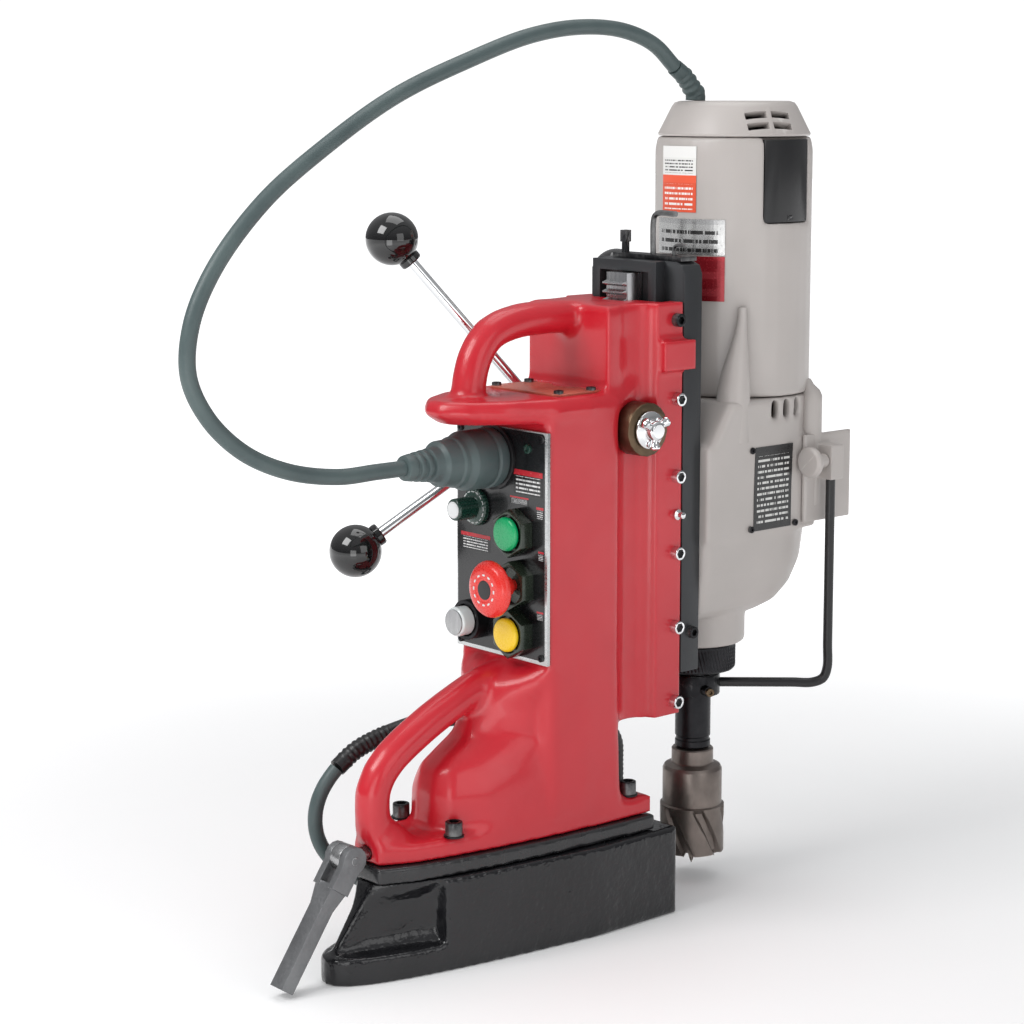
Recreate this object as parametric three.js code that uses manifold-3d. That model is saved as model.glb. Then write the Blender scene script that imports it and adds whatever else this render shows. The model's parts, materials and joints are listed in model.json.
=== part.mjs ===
// Magnetic drill press: an electromagnet base, a cast housing with its control panel, and a drill
// motor on a dovetail slide that a four-spoke handle feeds through a rack and pinion.
//
// Frame: millimetres, +Z up, the operator's side towards -Y and the drill motor towards +Y. The
// origin is on the magnet's bottom face, in the plane of symmetry.

import Module from 'manifold-3d';
import * as THREE from 'three';
import { mergeVertices } from 'three/addons/utils/BufferGeometryUtils.js';

const wasm = await Module();
wasm.setup();

// ---------------------------------------------------------------- driving dimensions

const GAP = 0.3; // clearance where two pieces touch
const RUN = 0.08; // radial clearance of a turning shaft in its bore
const SLIP = 0.5; // radial clearance of a button's stem in its sleeve

const MAGNET = { nose: -145, rear: 148, halfWidth: 56, height: 68, lip: 20, taper: 215, curve: 0.42 };
const COIL = { halfWidth: 36, front: -55, rear: 125, slot: 13, depth: 40, proud: 0.5 };
const PIVOT = { y: 95, r: 12, depth: 20 };
const SWIVEL_PLATE = 12;
const FLANGE = { nose: -108, noseWidth: 15, rear: 126, halfWidth: 48, thickness: 15, margin: 3 };

const COLUMN = { front: 22, waist: 91, halfWidth: 50, foot: 98 };
const WEB = { halfWidth: 40 };
const RAIL = { front: 128, back: 155, bottom: 154, top: 466 };
const CAVITY = { halfWidth: 43, back: 84, bottom: 216, top: 375 };
const PANEL = { bottom: 211, top: 380, thickness: 2.7 };
const VISOR = { nose: -47, bottom: 386, top: 404, rear: 118, halfWidth: 52 };
const VISOR_COVER = { front: 38, back: 82, halfWidth: 40, thickness: 2, recess: 1.2 };
const HEAD = { front: 84, top: 467, halfWidth: 34 };
const LUG = { proud: 6, rear: 163, bottom: 416, top: 438 };
const HANDLE = { r: 13 };

const DOVETAIL = { front: 141, wide: 34, narrow: 29, gib: 5, window: 26, windowTop: 487 };
const SLIDE = { bottom: 185, top: 495, thickness: 18.5, cornerR: 9 };
const RACK = { halfWidth: 11, pitchY: 131.05, floor: 150, bottom: 190, top: 486 };
const PINION = { teeth: 18, module: 2.1167, halfWidth: 12, z: 375, shaftR: 9 };
const FEED = { hubX: -58, hubR: 19, hubLength: 20, cone: 20, reach: 178, spokeR: 4, ballR: 20, first: 36 };

const SPINDLE = { y: 220, shaftR: 14 };
const MOTOR = { y: 259, r: 61, wall: 6, split: 388, shoulder: 586, top: 613, topR: 46, shaftR: 7 };
const GEAR_CASE = { padX: 58.5, padBottom: 282, padTop: 356, belly: 219, neckR: 40, neckBottom: 193 };
const FIRST_STAGE = { pinionTeeth: 7, wheelTeeth: 22, module: 1.9 };
const LAST_STAGE = { pinionTeeth: 8, wheelTeeth: 22, module: 2.15 };
const ARBOR = { bottom: 106, top: 166 };
const COLLAR = { bottom: 150, r: 21 };
const CUTTER = { shankR: 16.5, bodyR: 23.5, fluteR: 25.5, boreR: 20, bottom: 22, flute: 60, body: 92, teeth: 6 };
const PILOT = { r: 3, tip: 10 };
const TUBE = { r: 3.75 };
const BRACKET = { front: 277.5, back: 331, bottom: 287, top: 356, thickness: 4 };

const STUD = { r: 5, eyeR: 10, eyeHalf: 5, y: -126, pinR: 3 };
const LEVER = { length: 100, lean: 34.5, width: 14, thickness: 11, fork: 24, tine: 6 };

const LEAD = { r: 5.75, sides: 8 };
const MAINS = { r: 5.5, sides: 8, sleeveR: 8 };
const COIL_OF_CORD = { x: -140, y: 160, meanR: 62, half: 16.5, height: 20.8 };

// ---------------------------------------------------------------- finishes

const finish = (color, roughness, metalness) => new THREE.MeshStandardMaterial({ color, roughness, metalness });
const RED_PAINT = finish(0xc4283a, 0.35, 0.0);
const BLACK_CAST = finish(0x101112, 0.3, 0.1);
const BLACK_STEEL = finish(0x1d1f21, 0.45, 0.7);
const GREY_STEEL = finish(0x8d9091, 0.4, 0.9);
const GREY_CAST = finish(0xb8b1ad, 0.45, 0.1);
const CHROME = finish(0xd9dcdf, 0.1, 1.0);
const BRONZE = finish(0x7a6248, 0.35, 0.9);
const CUTTER_STEEL = finish(0x6e635b, 0.45, 0.7);
const COPPER = finish(0xb87333, 0.4, 0.9);
const BLACK_PLASTIC = finish(0x0c0c0d, 0.25, 0.0);
const GREY_RUBBER = finish(0x4f5a5b, 0.6, 0.0);
const PANEL_BLACK = finish(0x0b0b0c, 0.4, 0.1);
const BOARD_GREEN = finish(0x1f5c3a, 0.6, 0.0);
const COVER_TAN = finish(0xb86a50, 0.5, 0.2);
const GREEN = finish(0x0f9d55, 0.35, 0.0);
const STOP_RED = finish(0xe5362f, 0.35, 0.0);
const YELLOW = finish(0xf0c814, 0.35, 0.0);
const CLEAR_WHITE = finish(0xe9ecec, 0.2, 0.0);

// ---------------------------------------------------------------- solids

// A closed solid from a geometry's triangles, turned the right way out.
function toSolid(shape) {
  if (!shape.isBufferGeometry) return shape;
  const bare = shape.clone();
  bare.deleteAttribute('normal');
  bare.deleteAttribute('uv');
  const merged = mergeVertices(bare, 1e-3);
  const place = merged.attributes.position.array;
  const corners = [];
  let volume = 0;
  for (let i = 0; i < merged.index.count; i += 3) {
    const [a, b, c] = [0, 1, 2].map((k) => merged.index.getX(i + k));
    if (a === b || b === c || c === a) continue;
    corners.push([a, b, c]);
    const [p, q, r] = [a, b, c].map((k) => new THREE.Vector3().fromArray(place, 3 * k));
    volume += p.dot(q.cross(r));
  }
  const facing = volume < 0 ? corners.map(([a, b, c]) => [a, c, b]) : corners;
  const mesh = new wasm.Mesh({
    numProp: 3,
    vertProperties: new Float32Array(place),
    triVerts: new Uint32Array(facing.flat()),
  });
  return new wasm.Manifold(mesh);
}

function toGeometry(shape) {
  const mesh = toSolid(shape).getMesh();
  const geometry = new THREE.BufferGeometry();
  geometry.setAttribute('position', new THREE.BufferAttribute(new Float32Array(mesh.vertProperties), 3));
  geometry.setIndex(new THREE.BufferAttribute(new Uint32Array(mesh.triVerts), 1));
  geometry.computeVertexNormals();
  return geometry;
}

const join = (...shapes) => shapes.map(toSolid).reduce((whole, next) => whole.add(next));
const cut = (shape, ...tools) => tools.map(toSolid).reduce((left, tool) => left.subtract(tool), toSolid(shape));

// ---------------------------------------------------------------- plain forms

function block(x0, x1, y0, y1, z0, z1) {
  const form = new THREE.BoxGeometry(x1 - x0, y1 - y0, z1 - z0);
  return form.translate((x0 + x1) / 2, (y0 + y1) / 2, (z0 + z1) / 2);
}

// A round bar along an axis, from one place on it to another, centred on [u, v] of the other two axes.
function bar(axis, r, from, to, [u, v] = [0, 0], sides = 18, r2 = r) {
  const form = new THREE.CylinderGeometry(r2, r, to - from, sides);
  const middle = (from + to) / 2;
  if (axis === 'x') return form.rotateZ(-Math.PI / 2).translate(middle, u, v);
  if (axis === 'y') return form.translate(u, middle, v);
  return form.rotateX(Math.PI / 2).translate(u, v, middle);
}

const shapeOf = (points) => new THREE.Shape(points.map(([u, v]) => new THREE.Vector2(u, v)));
const right = (points) => [...points, ...points.filter(([x]) => x > 0).reverse().map(([x, y]) => [-x, y])];

// Solids of one outline: [x, y] along Z, [y, z] along X, or [x, z] along Y.
function plate(points, z0, z1) {
  return new THREE.ExtrudeGeometry(shapeOf(points), { depth: z1 - z0, bevelEnabled: false }).translate(0, 0, z0);
}

function alongX(points, x0, x1) {
  const form = new THREE.ExtrudeGeometry(shapeOf(points), { depth: x1 - x0, bevelEnabled: false });
  const basis = new THREE.Matrix4().makeBasis(
    new THREE.Vector3(0, 1, 0), new THREE.Vector3(0, 0, 1), new THREE.Vector3(1, 0, 0));
  return form.applyMatrix4(basis).translate(x0, 0, 0);
}

function alongY(points, y0, y1) {
  const form = new THREE.ExtrudeGeometry(shapeOf(points), { depth: y1 - y0, bevelEnabled: false });
  const basis = new THREE.Matrix4().makeBasis(
    new THREE.Vector3(1, 0, 0), new THREE.Vector3(0, 0, 1), new THREE.Vector3(0, -1, 0));
  return form.applyMatrix4(basis).translate(0, y1, 0);
}

// A turned form about Z from its [r, z] profile, which starts and ends on the axis or closes on itself.
function turned(profile, sides = 24) {
  const points = profile.map(([r, z]) => new THREE.Vector2(r, z));
  return new THREE.LatheGeometry(points, sides).rotateX(Math.PI / 2);
}

const ring = (r, R, z0, z1, sides = 24) => turned([[r, z0], [R, z0], [R, z1], [r, z1], [r, z0]], sides);

// A skin through level rings of equal count, each {z, points}, closed by a fan at both ends.
function loft(levels) {
  const n = levels[0].points.length;
  const places = levels.flatMap(({ z, points }) => points.map(([x, y]) => [x, y, z]));
  const faces = [];
  for (let k = 0; k < levels.length - 1; k += 1) {
    for (let i = 0; i < n; i += 1) {
      const [a, b] = [k * n + i, k * n + ((i + 1) % n)];
      faces.push([a, b, b + n], [a, b + n, a + n]);
    }
  }
  for (const k of [0, levels.length - 1]) {
    const { z, points } = levels[k];
    const middle = places.length;
    places.push([points.reduce((s, p) => s + p[0], 0) / n, points.reduce((s, p) => s + p[1], 0) / n, z]);
    for (let i = 0; i < n; i += 1) {
      const [a, b] = [k * n + i, k * n + ((i + 1) % n)];
      faces.push(k === 0 ? [b, a, middle] : [a, b, middle]);
    }
  }
  const form = new THREE.BufferGeometry();
  form.setAttribute('position', new THREE.BufferAttribute(new Float32Array(places.flat()), 3));
  form.setIndex(faces.flat());
  return form;
}

const circle = (r, sides = 16) => Array.from({ length: sides }, (_, i) => {
  const angle = (2 * Math.PI * i) / sides;
  return [r * Math.cos(angle), r * Math.sin(angle)];
});

// A bar of round section bent along a smooth curve through its points.
function bent(points, r, steps, sides = 12) {
  const path = new THREE.CatmullRomCurve3(points.map((p) => new THREE.Vector3(...p)), false, 'centripetal');
  return new THREE.ExtrudeGeometry(shapeOf(circle(r, sides)), { extrudePath: path, steps, bevelEnabled: false });
}

const mirrored = (shape) => {
  const other = shape.clone();
  return other.applyMatrix4(new THREE.Matrix4().makeScale(-1, 1, 1));
};

// The corner radius of a hole with this many sides whose flats clear a shaft of radius r.
const holeRadius = (r, clearance, sides = 18) => (r + clearance) / Math.cos(Math.PI / sides);

// ---------------------------------------------------------------- the model's tree

const press = new THREE.Group();

function put(parent, name, shape, material) {
  const mesh = new THREE.Mesh(toGeometry(shape), material);
  mesh.name = name;
  parent.add(mesh);
  return mesh;
}

function assembly(parent, x = 0, y = 0, z = 0) {
  const group = new THREE.Group();
  group.position.set(x, y, z);
  parent.add(group);
  return group;
}

// ---------------------------------------------------------------- magnet base

// The magnet's outline: a point at the nose that swells quickly and runs out straight to the rear.
function magnetOutline(inset = 0, from = MAGNET.nose) {
  const stations = [0, 3, 9, 18, 32, 50, 75, 105, 140, 175, 215].map((s) => MAGNET.nose + s);
  const width = (y) => MAGNET.halfWidth * Math.min(1, (y - MAGNET.nose) / MAGNET.taper) ** MAGNET.curve;
  const side = stations.filter((y) => y >= from).map((y) => [Math.max(width(y) - inset, 0), y]);
  if (from > MAGNET.nose) side.unshift([width(from) - inset, from]);
  return right([...side, [MAGNET.halfWidth - inset, MAGNET.rear - inset]]);
}

const PLATE_BOTTOM = MAGNET.height + GAP;
const FLANGE_BOTTOM = PLATE_BOTTOM + SWIVEL_PLATE + GAP;
const FLANGE_TOP = FLANGE_BOTTOM + FLANGE.thickness - GAP;
const STUD_Z = (FLANGE_BOTTOM + FLANGE_TOP) / 2;

function magnetBody() {
  const lip = plate(magnetOutline(), 0, MAGNET.lip);
  const shoulder = plate(magnetOutline(0, -64), 0, MAGNET.height);
  const prow = loft([
    { z: MAGNET.lip - 4, points: right([[3, -142], [13, -118], [24, -84], [30, -50]]) },
    { z: MAGNET.lip + 8, points: right([[3, -134], [8, -112], [16, -82], [30, -50]]) },
    { z: MAGNET.height - 16, points: right([[5, -117], [10, -104], [19, -80], [32, -50]]) },
    { z: MAGNET.height, points: right([[9, -110], [22, -96], [33, -74], [38, -50]]) },
  ]);
  const outer = block(-COIL.halfWidth, COIL.halfWidth, COIL.front, COIL.rear, -1, COIL.depth);
  const pole = block(-COIL.halfWidth + COIL.slot, COIL.halfWidth - COIL.slot,
    COIL.front + COIL.slot, COIL.rear - COIL.slot, -2, COIL.depth + 1);
  const seat = bar('z', PIVOT.r + GAP, MAGNET.height - PIVOT.depth - GAP, MAGNET.height + 1, [0, PIVOT.y], 18);
  return cut(join(lip, shoulder, prow), cut(outer, pole), seat);
}

// A rectangular frame that fills the coil's slot between two heights.
function slotFrame(z0, z1) {
  const outer = block(-COIL.halfWidth + GAP, COIL.halfWidth - GAP, COIL.front + GAP, COIL.rear - GAP, z0, z1);
  const core = block(-COIL.halfWidth + COIL.slot - GAP, COIL.halfWidth - COIL.slot + GAP,
    COIL.front + COIL.slot - GAP, COIL.rear - COIL.slot + GAP, z0 - 1, z1 + 1);
  return cut(outer, core);
}

put(press, 'magnet_body', magnetBody(), BLACK_CAST);
put(press, 'magnet_coil', slotFrame(COIL.proud, COIL.depth - GAP), COPPER);

// ---------------------------------------------------------------- housing

// Half-width of the flange at a place between its blunt nose and its straight rear.
function flangeOutline(margin = 0) {
  const length = FLANGE.rear - FLANGE.nose;
  const spread = FLANGE.halfWidth - FLANGE.noseWidth;
  const side = [0, 0.1, 0.22, 0.38, 0.58, 0.8].map((t) => [
    FLANGE.noseWidth + spread * Math.sin((Math.PI / 2) * t) ** 0.62 + margin,
    FLANGE.nose + t * length + (t === 0 ? -margin : 0),
  ]);
  return right([...side, [FLANGE.halfWidth + margin, FLANGE.rear + margin]]);
}

const SCREW_PLACES = [[30, -52], [-30, -52], [38, 112], [-38, 112]];
const SCREW_SEAT = 8;
const SLIDE_FRONT = RAIL.back + GAP;
const GIB_FACE = DOVETAIL.gib + 2 * GAP;

// The rails' slot in plan: the dovetail's own outline with its clearance and the gib's room.
const slope = (DOVETAIL.wide - DOVETAIL.narrow) / (RAIL.back - DOVETAIL.front);
const flankX = (y) => DOVETAIL.wide - slope * (y - DOVETAIL.front);
const slotEnds = [DOVETAIL.front - GAP, RAIL.back + 1];
const dovetailSlot = [
  ...slotEnds.map((y) => [flankX(y) + GIB_FACE, y]), ...slotEnds.map((y) => [-flankX(y) - GAP, y]).reverse(),
];

// The foot that swells from the column's front down onto the flange.
function foot() {
  const swell = loft([
    { z: FLANGE_TOP - 2, points: right([[9, -56], [25, -48], [37, -22], [43, 12], [46, 40]]) },
    { z: 122, points: right([[8, -56], [22, -49], [33, -24], [41, 10], [45, 40]]) },
    { z: 138, points: right([[7, -51], [18, -44], [28, -22], [38, 8], [44, 40]]) },
    { z: 148, points: right([[6, -38], [14, -33], [25, -16], [36, 8], [44, 40]]) },
    { z: 158, points: right([[5, -22], [12, -18], [22, -6], [34, 12], [44, 40]]) },
    { z: 178, points: right([[6, -12], [14, -8], [24, 0], [36, 14], [46, 40]]) },
    { z: 196, points: right([[8, -4], [20, 0], [34, 8], [44, 16], [49, 40]]) },
    { z: PANEL.bottom - 2, points: right([[12, COLUMN.front], [30, 22.5], [44, 23], [49, 24], [50, 40]]) },
  ]);
  return swell;
}

function housing() {
  const flange = plate(flangeOutline(), FLANGE_BOTTOM, FLANGE_TOP);
  const column = loft([
    { z: FLANGE_TOP - 2, points: right([[40, 24], [46, 30], [47, 60], [46, COLUMN.foot], [30, 112]]) },
    { z: 150, points: right([[42, 22], [48, 28], [49, 60], [47, COLUMN.foot - 3], [30, COLUMN.foot + 2]]) },
    { z: 205, points: right([[47, 22], [50, 25], [50, 60], [49, COLUMN.waist], [30, COLUMN.foot]]) },
    { z: VISOR.top - 6, points: right([[47, 22], [50, 25], [50, 60], [49, COLUMN.waist], [30, COLUMN.foot]]) },
  ]);
  const web = plate(right([
    [44, 84], [43, 96], [WEB.halfWidth, 104], [WEB.halfWidth, 118], [44, 125], [COLUMN.halfWidth, RAIL.front],
    [COLUMN.halfWidth, RAIL.back],
  ]), RAIL.bottom, RAIL.top);
  const head = loft([
    { z: VISOR.top - 8, points: right([[20, 83], [34, 88], [45, 100], [WEB.halfWidth, 120]]) },
    { z: VISOR.top + 8, points: right([[16, 84], [30, 89], [40, 102], [WEB.halfWidth, 120]]) },
    { z: HEAD.top - 24, points: right([[16, HEAD.front], [HEAD.halfWidth - 6, 90], [38, 104], [40, 120]]) },
    { z: HEAD.top - 6, points: right([[14, 84], [28, 90], [38, 104], [40, 120]]) },
    { z: HEAD.top, points: right([[10, 88], [22, 94], [34, 106], [36, 120]]) },
  ]);
  const visor = loft([
    { z: VISOR.bottom, points: right([[6, -34], [20, -24], [36, -2], [47, 24], [50, 60], [44, 100], [34, 112]]) },
    { z: VISOR.bottom + 8, points: right([[8, VISOR.nose], [25, -34], [41, -8], [VISOR.halfWidth, 28],
      [VISOR.halfWidth, 64], [47, 98], [36, VISOR.rear - 6]]) },
    { z: VISOR.top, points: right([[7, -43], [23, -31], [38, -6], [47, 30], [48, 60], [43, 92], [34, 108]]) },
  ]);
  const top = bent([[0, -14, VISOR.top - 8], [0, -12, 410], [0, -8, 428], [0, 6, 447], [0, 30, 455],
    [0, 60, 457], [0, 98, 456]], HANDLE.r, 13, 12);
  const low = bent([[0, -97, FLANGE_TOP - 6], [0, -102, 116], [0, -101, 133], [0, -90, 149], [0, -60, 168],
    [0, -30, 182], [0, 0, 193], [0, 30, 198]], HANDLE.r, 14, 12);
  const handleFoot = loft([
    { z: FLANGE_TOP - 2, points: right([[12, -107], [16, -100], [20, -84], [14, -70]]) },
    { z: 108, points: right([[9, -113], [12, -106], [13, -92], [8, -84]]) },
  ]);
  const lug = block(20, COLUMN.halfWidth + LUG.proud, RAIL.front + 2, LUG.rear, LUG.bottom, LUG.top);
  const slidePath = block(-60, COLUMN.halfWidth + GAP, SLIDE_FRONT - 0.1, LUG.rear + 1, LUG.bottom - 1, LUG.top + 1);
  const cavity = block(-CAVITY.halfWidth, CAVITY.halfWidth, COLUMN.front - 5, CAVITY.back, CAVITY.bottom, CAVITY.top);
  const rackPath = block(-RACK.halfWidth - 2, RACK.halfWidth + 2, RAIL.front - 2, RAIL.back, 100, 500);
  const pinionRoom = bar('x', 24, -PINION.halfWidth - 2, PINION.halfWidth + 2, [PINION_Y, PINION.z], 18);
  const shaftBore = bar('x', holeRadius(BUSH.r, GAP), -60, 60, [PINION_Y, PINION.z]);
  const boltSeats = SCREW_PLACES.map(([x, y]) => bar('z', SCREW_SEAT, FLANGE_TOP, FLANGE_TOP + 45, [x, y], 12));
  const studHole = bar('y', STUD.r + GAP, -120, -70, [0, STUD_Z], 12);
  const cordHole = bar('x', MAINS.sleeveR + 1.2, -60, -38, MAINS_EXIT, 16);
  const panelRoom = block(-60, 60, -60, COLUMN.front, PANEL.bottom - 1, PANEL.top + 1);
  const ledge = block(-VISOR_COVER.halfWidth - GAP, VISOR_COVER.halfWidth + GAP, VISOR_COVER.front - GAP,
    VISOR_COVER.back + GAP, VISOR.top - VISOR_COVER.recess, VISOR.top + 4);
  return cut(join(flange, column, foot(), web, head, visor, top, low, handleFoot, cut(lug, slidePath)),
    cavity, plate(dovetailSlot, 100, 500), rackPath, pinionRoom, shaftBore, ...boltSeats,
    studHole, cordHole, panelRoom, ledge);
}

const PINION_Y = RACK.pitchY - (PINION.teeth * PINION.module) / 2;
const BUSH = { r: 13, collarR: 20, outer: 57, inner: 46 };
const MAINS_EXIT = [34, 152];
const PANEL_FACE = COLUMN.front - GAP - PANEL.thickness;

// Pockets that the feed bushes' collars stand in, on both sides of the column.
const collarPockets = [-1, 1].map((side) => bar('x', BUSH.collarR + 1.2, Math.min(side * 40, side * 62),
  Math.max(side * 40, side * 62), [PINION_Y, PINION.z], 20));

put(press, 'housing_casting', cut(housing(), ...collarPockets), RED_PAINT);

const swivelPlate = join(
  plate(flangeOutline(FLANGE.margin), PLATE_BOTTOM, FLANGE_BOTTOM - GAP),
  bar('z', PIVOT.r, MAGNET.height - PIVOT.depth + GAP, PLATE_BOTTOM + 1, [0, PIVOT.y], 18));
put(press, 'swivel_plate', swivelPlate, BLACK_STEEL);

const coverBottom = VISOR.top - VISOR_COVER.recess + GAP;
const visorCover = cut(
  plate(right([[VISOR_COVER.halfWidth - 6, VISOR_COVER.front], [VISOR_COVER.halfWidth, VISOR_COVER.front + 8],
    [VISOR_COVER.halfWidth - 2, VISOR_COVER.back]]), coverBottom, coverBottom + VISOR_COVER.thickness),
  bar('z', HANDLE.r + 8, VISOR.top - 4, VISOR.top + 4, [0, HEAD.front + 12], 12));
put(press, 'visor_cover', visorCover, COVER_TAN);

// ---------------------------------------------------------------- control panel

const CONTROLS = {
  start_button: { x: 19, z: 305, capR: 13, stand: 15, sides: 6, material: GREEN },
  stop_button: { x: 20, z: 267, capR: 21, stand: 34, sides: 6, material: STOP_RED },
  magnet_button: { x: 19, z: 231, capR: 13, stand: 15, sides: 6, material: YELLOW },
  reset_button: { x: -28, z: 234, capR: 11.5, stand: 22, sides: 20, material: CLEAR_WHITE },
};
const BEZEL = { r: 17.9, height: 10.7, pocketR: 13.9, pocket: 4.5, shankR: 11, stemR: 4 };
const PRESS_TRAVEL = 4;
const SWITCH_FRONT = 32.6;
const SOCKET = { x: -8, z: 357, r: 19, flangeR: 24, flange: 2.2, back: 62 };
const DIAL = { x: -26, z: 318, skirtR: 14, knobR: 8, shaftR: 3, stand: 25 };

const bezelSeat = PANEL_FACE - GAP;
const panelPlate = cut(
  block(-COLUMN.halfWidth, COLUMN.halfWidth, PANEL_FACE, COLUMN.front - GAP, PANEL.bottom, PANEL.top),
  ...Object.values(CONTROLS).map(({ x, z }) => bar('y', BEZEL.shankR + GAP, 0, 40, [x, z], 14)),
  bar('y', SOCKET.r + GAP, 0, 40, [SOCKET.x, SOCKET.z], 18),
  bar('y', DIAL.shaftR + GAP + 1, 0, 40, [DIAL.x, DIAL.z], 10));
put(press, 'control_panel', panelPlate, PANEL_BLACK);

// A switch's fixed body: the bezel nut before the panel, the threaded shank and the contact block.
function switchBody({ x, z, sides }) {
  const r = sides === 6 ? BEZEL.r : BEZEL.r - 3;
  const nut = bar('y', r, bezelSeat - BEZEL.height, bezelSeat, [x, z], sides);
  const shank = bar('y', BEZEL.shankR, bezelSeat - 1, SWITCH_FRONT + 1, [x, z], 18);
  const contacts = block(x - 11, x + 11, SWITCH_FRONT, SWITCH_FRONT + 24, z - 13, z + 13);
  const pocket = bar('y', sides === 6 ? BEZEL.pocketR : BEZEL.pocketR - 1.6, bezelSeat - BEZEL.height - 1,
    bezelSeat - BEZEL.height + BEZEL.pocket + GAP, [x, z], 20);
  const bore = bar('y', BEZEL.stemR + SLIP, bezelSeat - BEZEL.height, SWITCH_FRONT + 5, [x, z], 14);
  return cut(join(nut, shank, contacts), pocket, bore);
}

// A cap that sinks into its bezel, or a mushroom head that stands clear of it, on one stem.
function pushButton({ capR, stand }) {
  const sunk = capR < BEZEL.pocketR;
  const front = -stand;
  const back = -BEZEL.height + BEZEL.pocket - PRESS_TRAVEL - 0.2;
  const stem = bar('y', BEZEL.stemR, back - 1, SWITCH_FRONT - PANEL_FACE - PRESS_TRAVEL - 2 * GAP, [0, 0], 10);
  if (sunk) return join(bar('y', capR - 0.6, front, back, [0, 0], 18), stem);
  const dome = turned([[0, 0], [capR, 0], [capR, 3], [capR - 3, 7], [capR - 8, 9.5], [0, 10]], 28)
    .rotateX(Math.PI / 2).translate(0, front + 10, 0);
  return join(dome, bar('y', 7.5, front + 9, back, [0, 0], 14), stem);
}
Object.entries(CONTROLS).forEach(([name, control]) => {
  const place = assembly(press, control.x, PANEL_FACE - GAP, control.z);
  put(place, name, pushButton(control), control.material);
  put(press, name.replace('button', 'switch'), switchBody(control), BLACK_STEEL);
});

const dial = join(
  bar('y', DIAL.skirtR, -5, -GAP, [0, 0], 20),
  bar('y', DIAL.knobR, -DIAL.stand, -4, [0, 0], 14),
  bar('y', DIAL.shaftR, -5, SWITCH_FRONT - PANEL_FACE - GAP, [0, 0], 10));
put(assembly(press, DIAL.x, PANEL_FACE - GAP, DIAL.z), 'speed_dial', dial, BLACK_PLASTIC);

put(press, 'speed_control', block(DIAL.x - 9, DIAL.x + 9, SWITCH_FRONT, SWITCH_FRONT + 16, DIAL.z - 9, DIAL.z + 9),
  BLACK_PLASTIC);

const socketFace = PANEL_FACE - GAP - SOCKET.flange;
put(press, 'drill_socket', join(
  bar('y', SOCKET.flangeR, socketFace, PANEL_FACE - GAP, [SOCKET.x, SOCKET.z], 20),
  cut(bar('y', SOCKET.r, socketFace + 1, SOCKET.back, [SOCKET.x, SOCKET.z], 18),
    block(-40, 40, COLUMN.front, 80, CAVITY.top - GAP, 400))), BLACK_PLASTIC);

const BOARD = { front: 70, thickness: 2 };
const boardLegs = [[-30, 230], [30, 230], [-30, 345], [30, 345]].map(([x, z]) => bar('y', 3,
  BOARD.front + 1, CAVITY.back - GAP, [x, z], 8));
put(press, 'control_board', join(block(-36, 36, BOARD.front, BOARD.front + BOARD.thickness, 224, 352),
  block(-28, -6, 60, BOARD.front + 1, 240, 262), block(4, 28, 62, BOARD.front + 1, 236, 275),
  bar('y', 8, 60, BOARD.front + 1, [-18, 300], 12), ...boardLegs), BOARD_GREEN);

// ---------------------------------------------------------------- slide guide

const gibEnds = [DOVETAIL.front, RAIL.back];
put(press, 'gib', plate([
  ...gibEnds.map((y) => [flankX(y) + GAP + DOVETAIL.gib, y]), ...gibEnds.map((y) => [flankX(y) + GAP, y]).reverse(),
], RAIL.bottom + 4, RAIL.top - 4), GREY_STEEL);

const conduit = bent([[18, 104, 143], [18, 112, 142], [18, 119, 132], [18, 120, 115], [18, 120, FLANGE_TOP + GAP]],
  5, 8, 10);
put(press, 'magnet_conduit', conduit, BLACK_PLASTIC);

// ---------------------------------------------------------------- feed: bushes, pinion shaft, handle

const boreR = holeRadius(PINION.shaftR, RUN);
function bush(side) {
  const along = (r, from, to) => bar('x', r, Math.min(side * from, side * to), Math.max(side * from, side * to),
    [PINION_Y, PINION.z], 18);
  const end = side > 0 ? BUSH.outer : BUSH.inner;
  const sleeve = along(BUSH.r, PINION.halfWidth + 2.5, WEB.halfWidth + 1);
  return cut(join(sleeve, along(BUSH.collarR, WEB.halfWidth + GAP, end)), along(boreR, 0, 80));
}
put(press, 'feed_bush_right', bush(1), BRONZE);
put(press, 'feed_bush_left', bush(-1), BRONZE);

// A toothed outline about the origin with its first tooth centred at the given angle.
function teethOutline(teeth, module, phase) {
  const pitch = (teeth * module) / 2;
  const quarter = Math.PI / (2 * teeth);
  const corners = [[-1.15, -1.2], [-0.4, 0.9], [0.4, 0.9], [1.15, -1.2]];
  return Array.from({ length: teeth }, (_, i) => corners.map(([side, height]) => {
    const angle = phase + (2 * Math.PI * i) / teeth + side * quarter;
    const r = pitch + height * module;
    return [r * Math.cos(angle), r * Math.sin(angle)];
  })).flat();
}

const feed = assembly(press, 0, PINION_Y, PINION.z);
put(feed, 'feed_pinion_shaft', join(
  alongX(teethOutline(PINION.teeth, PINION.module, 0), -PINION.halfWidth, PINION.halfWidth),
  bar('x', PINION.shaftR, FEED.hubX - FEED.hubLength / 2 + 2, BUSH.outer)), GREY_STEEL);

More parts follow.
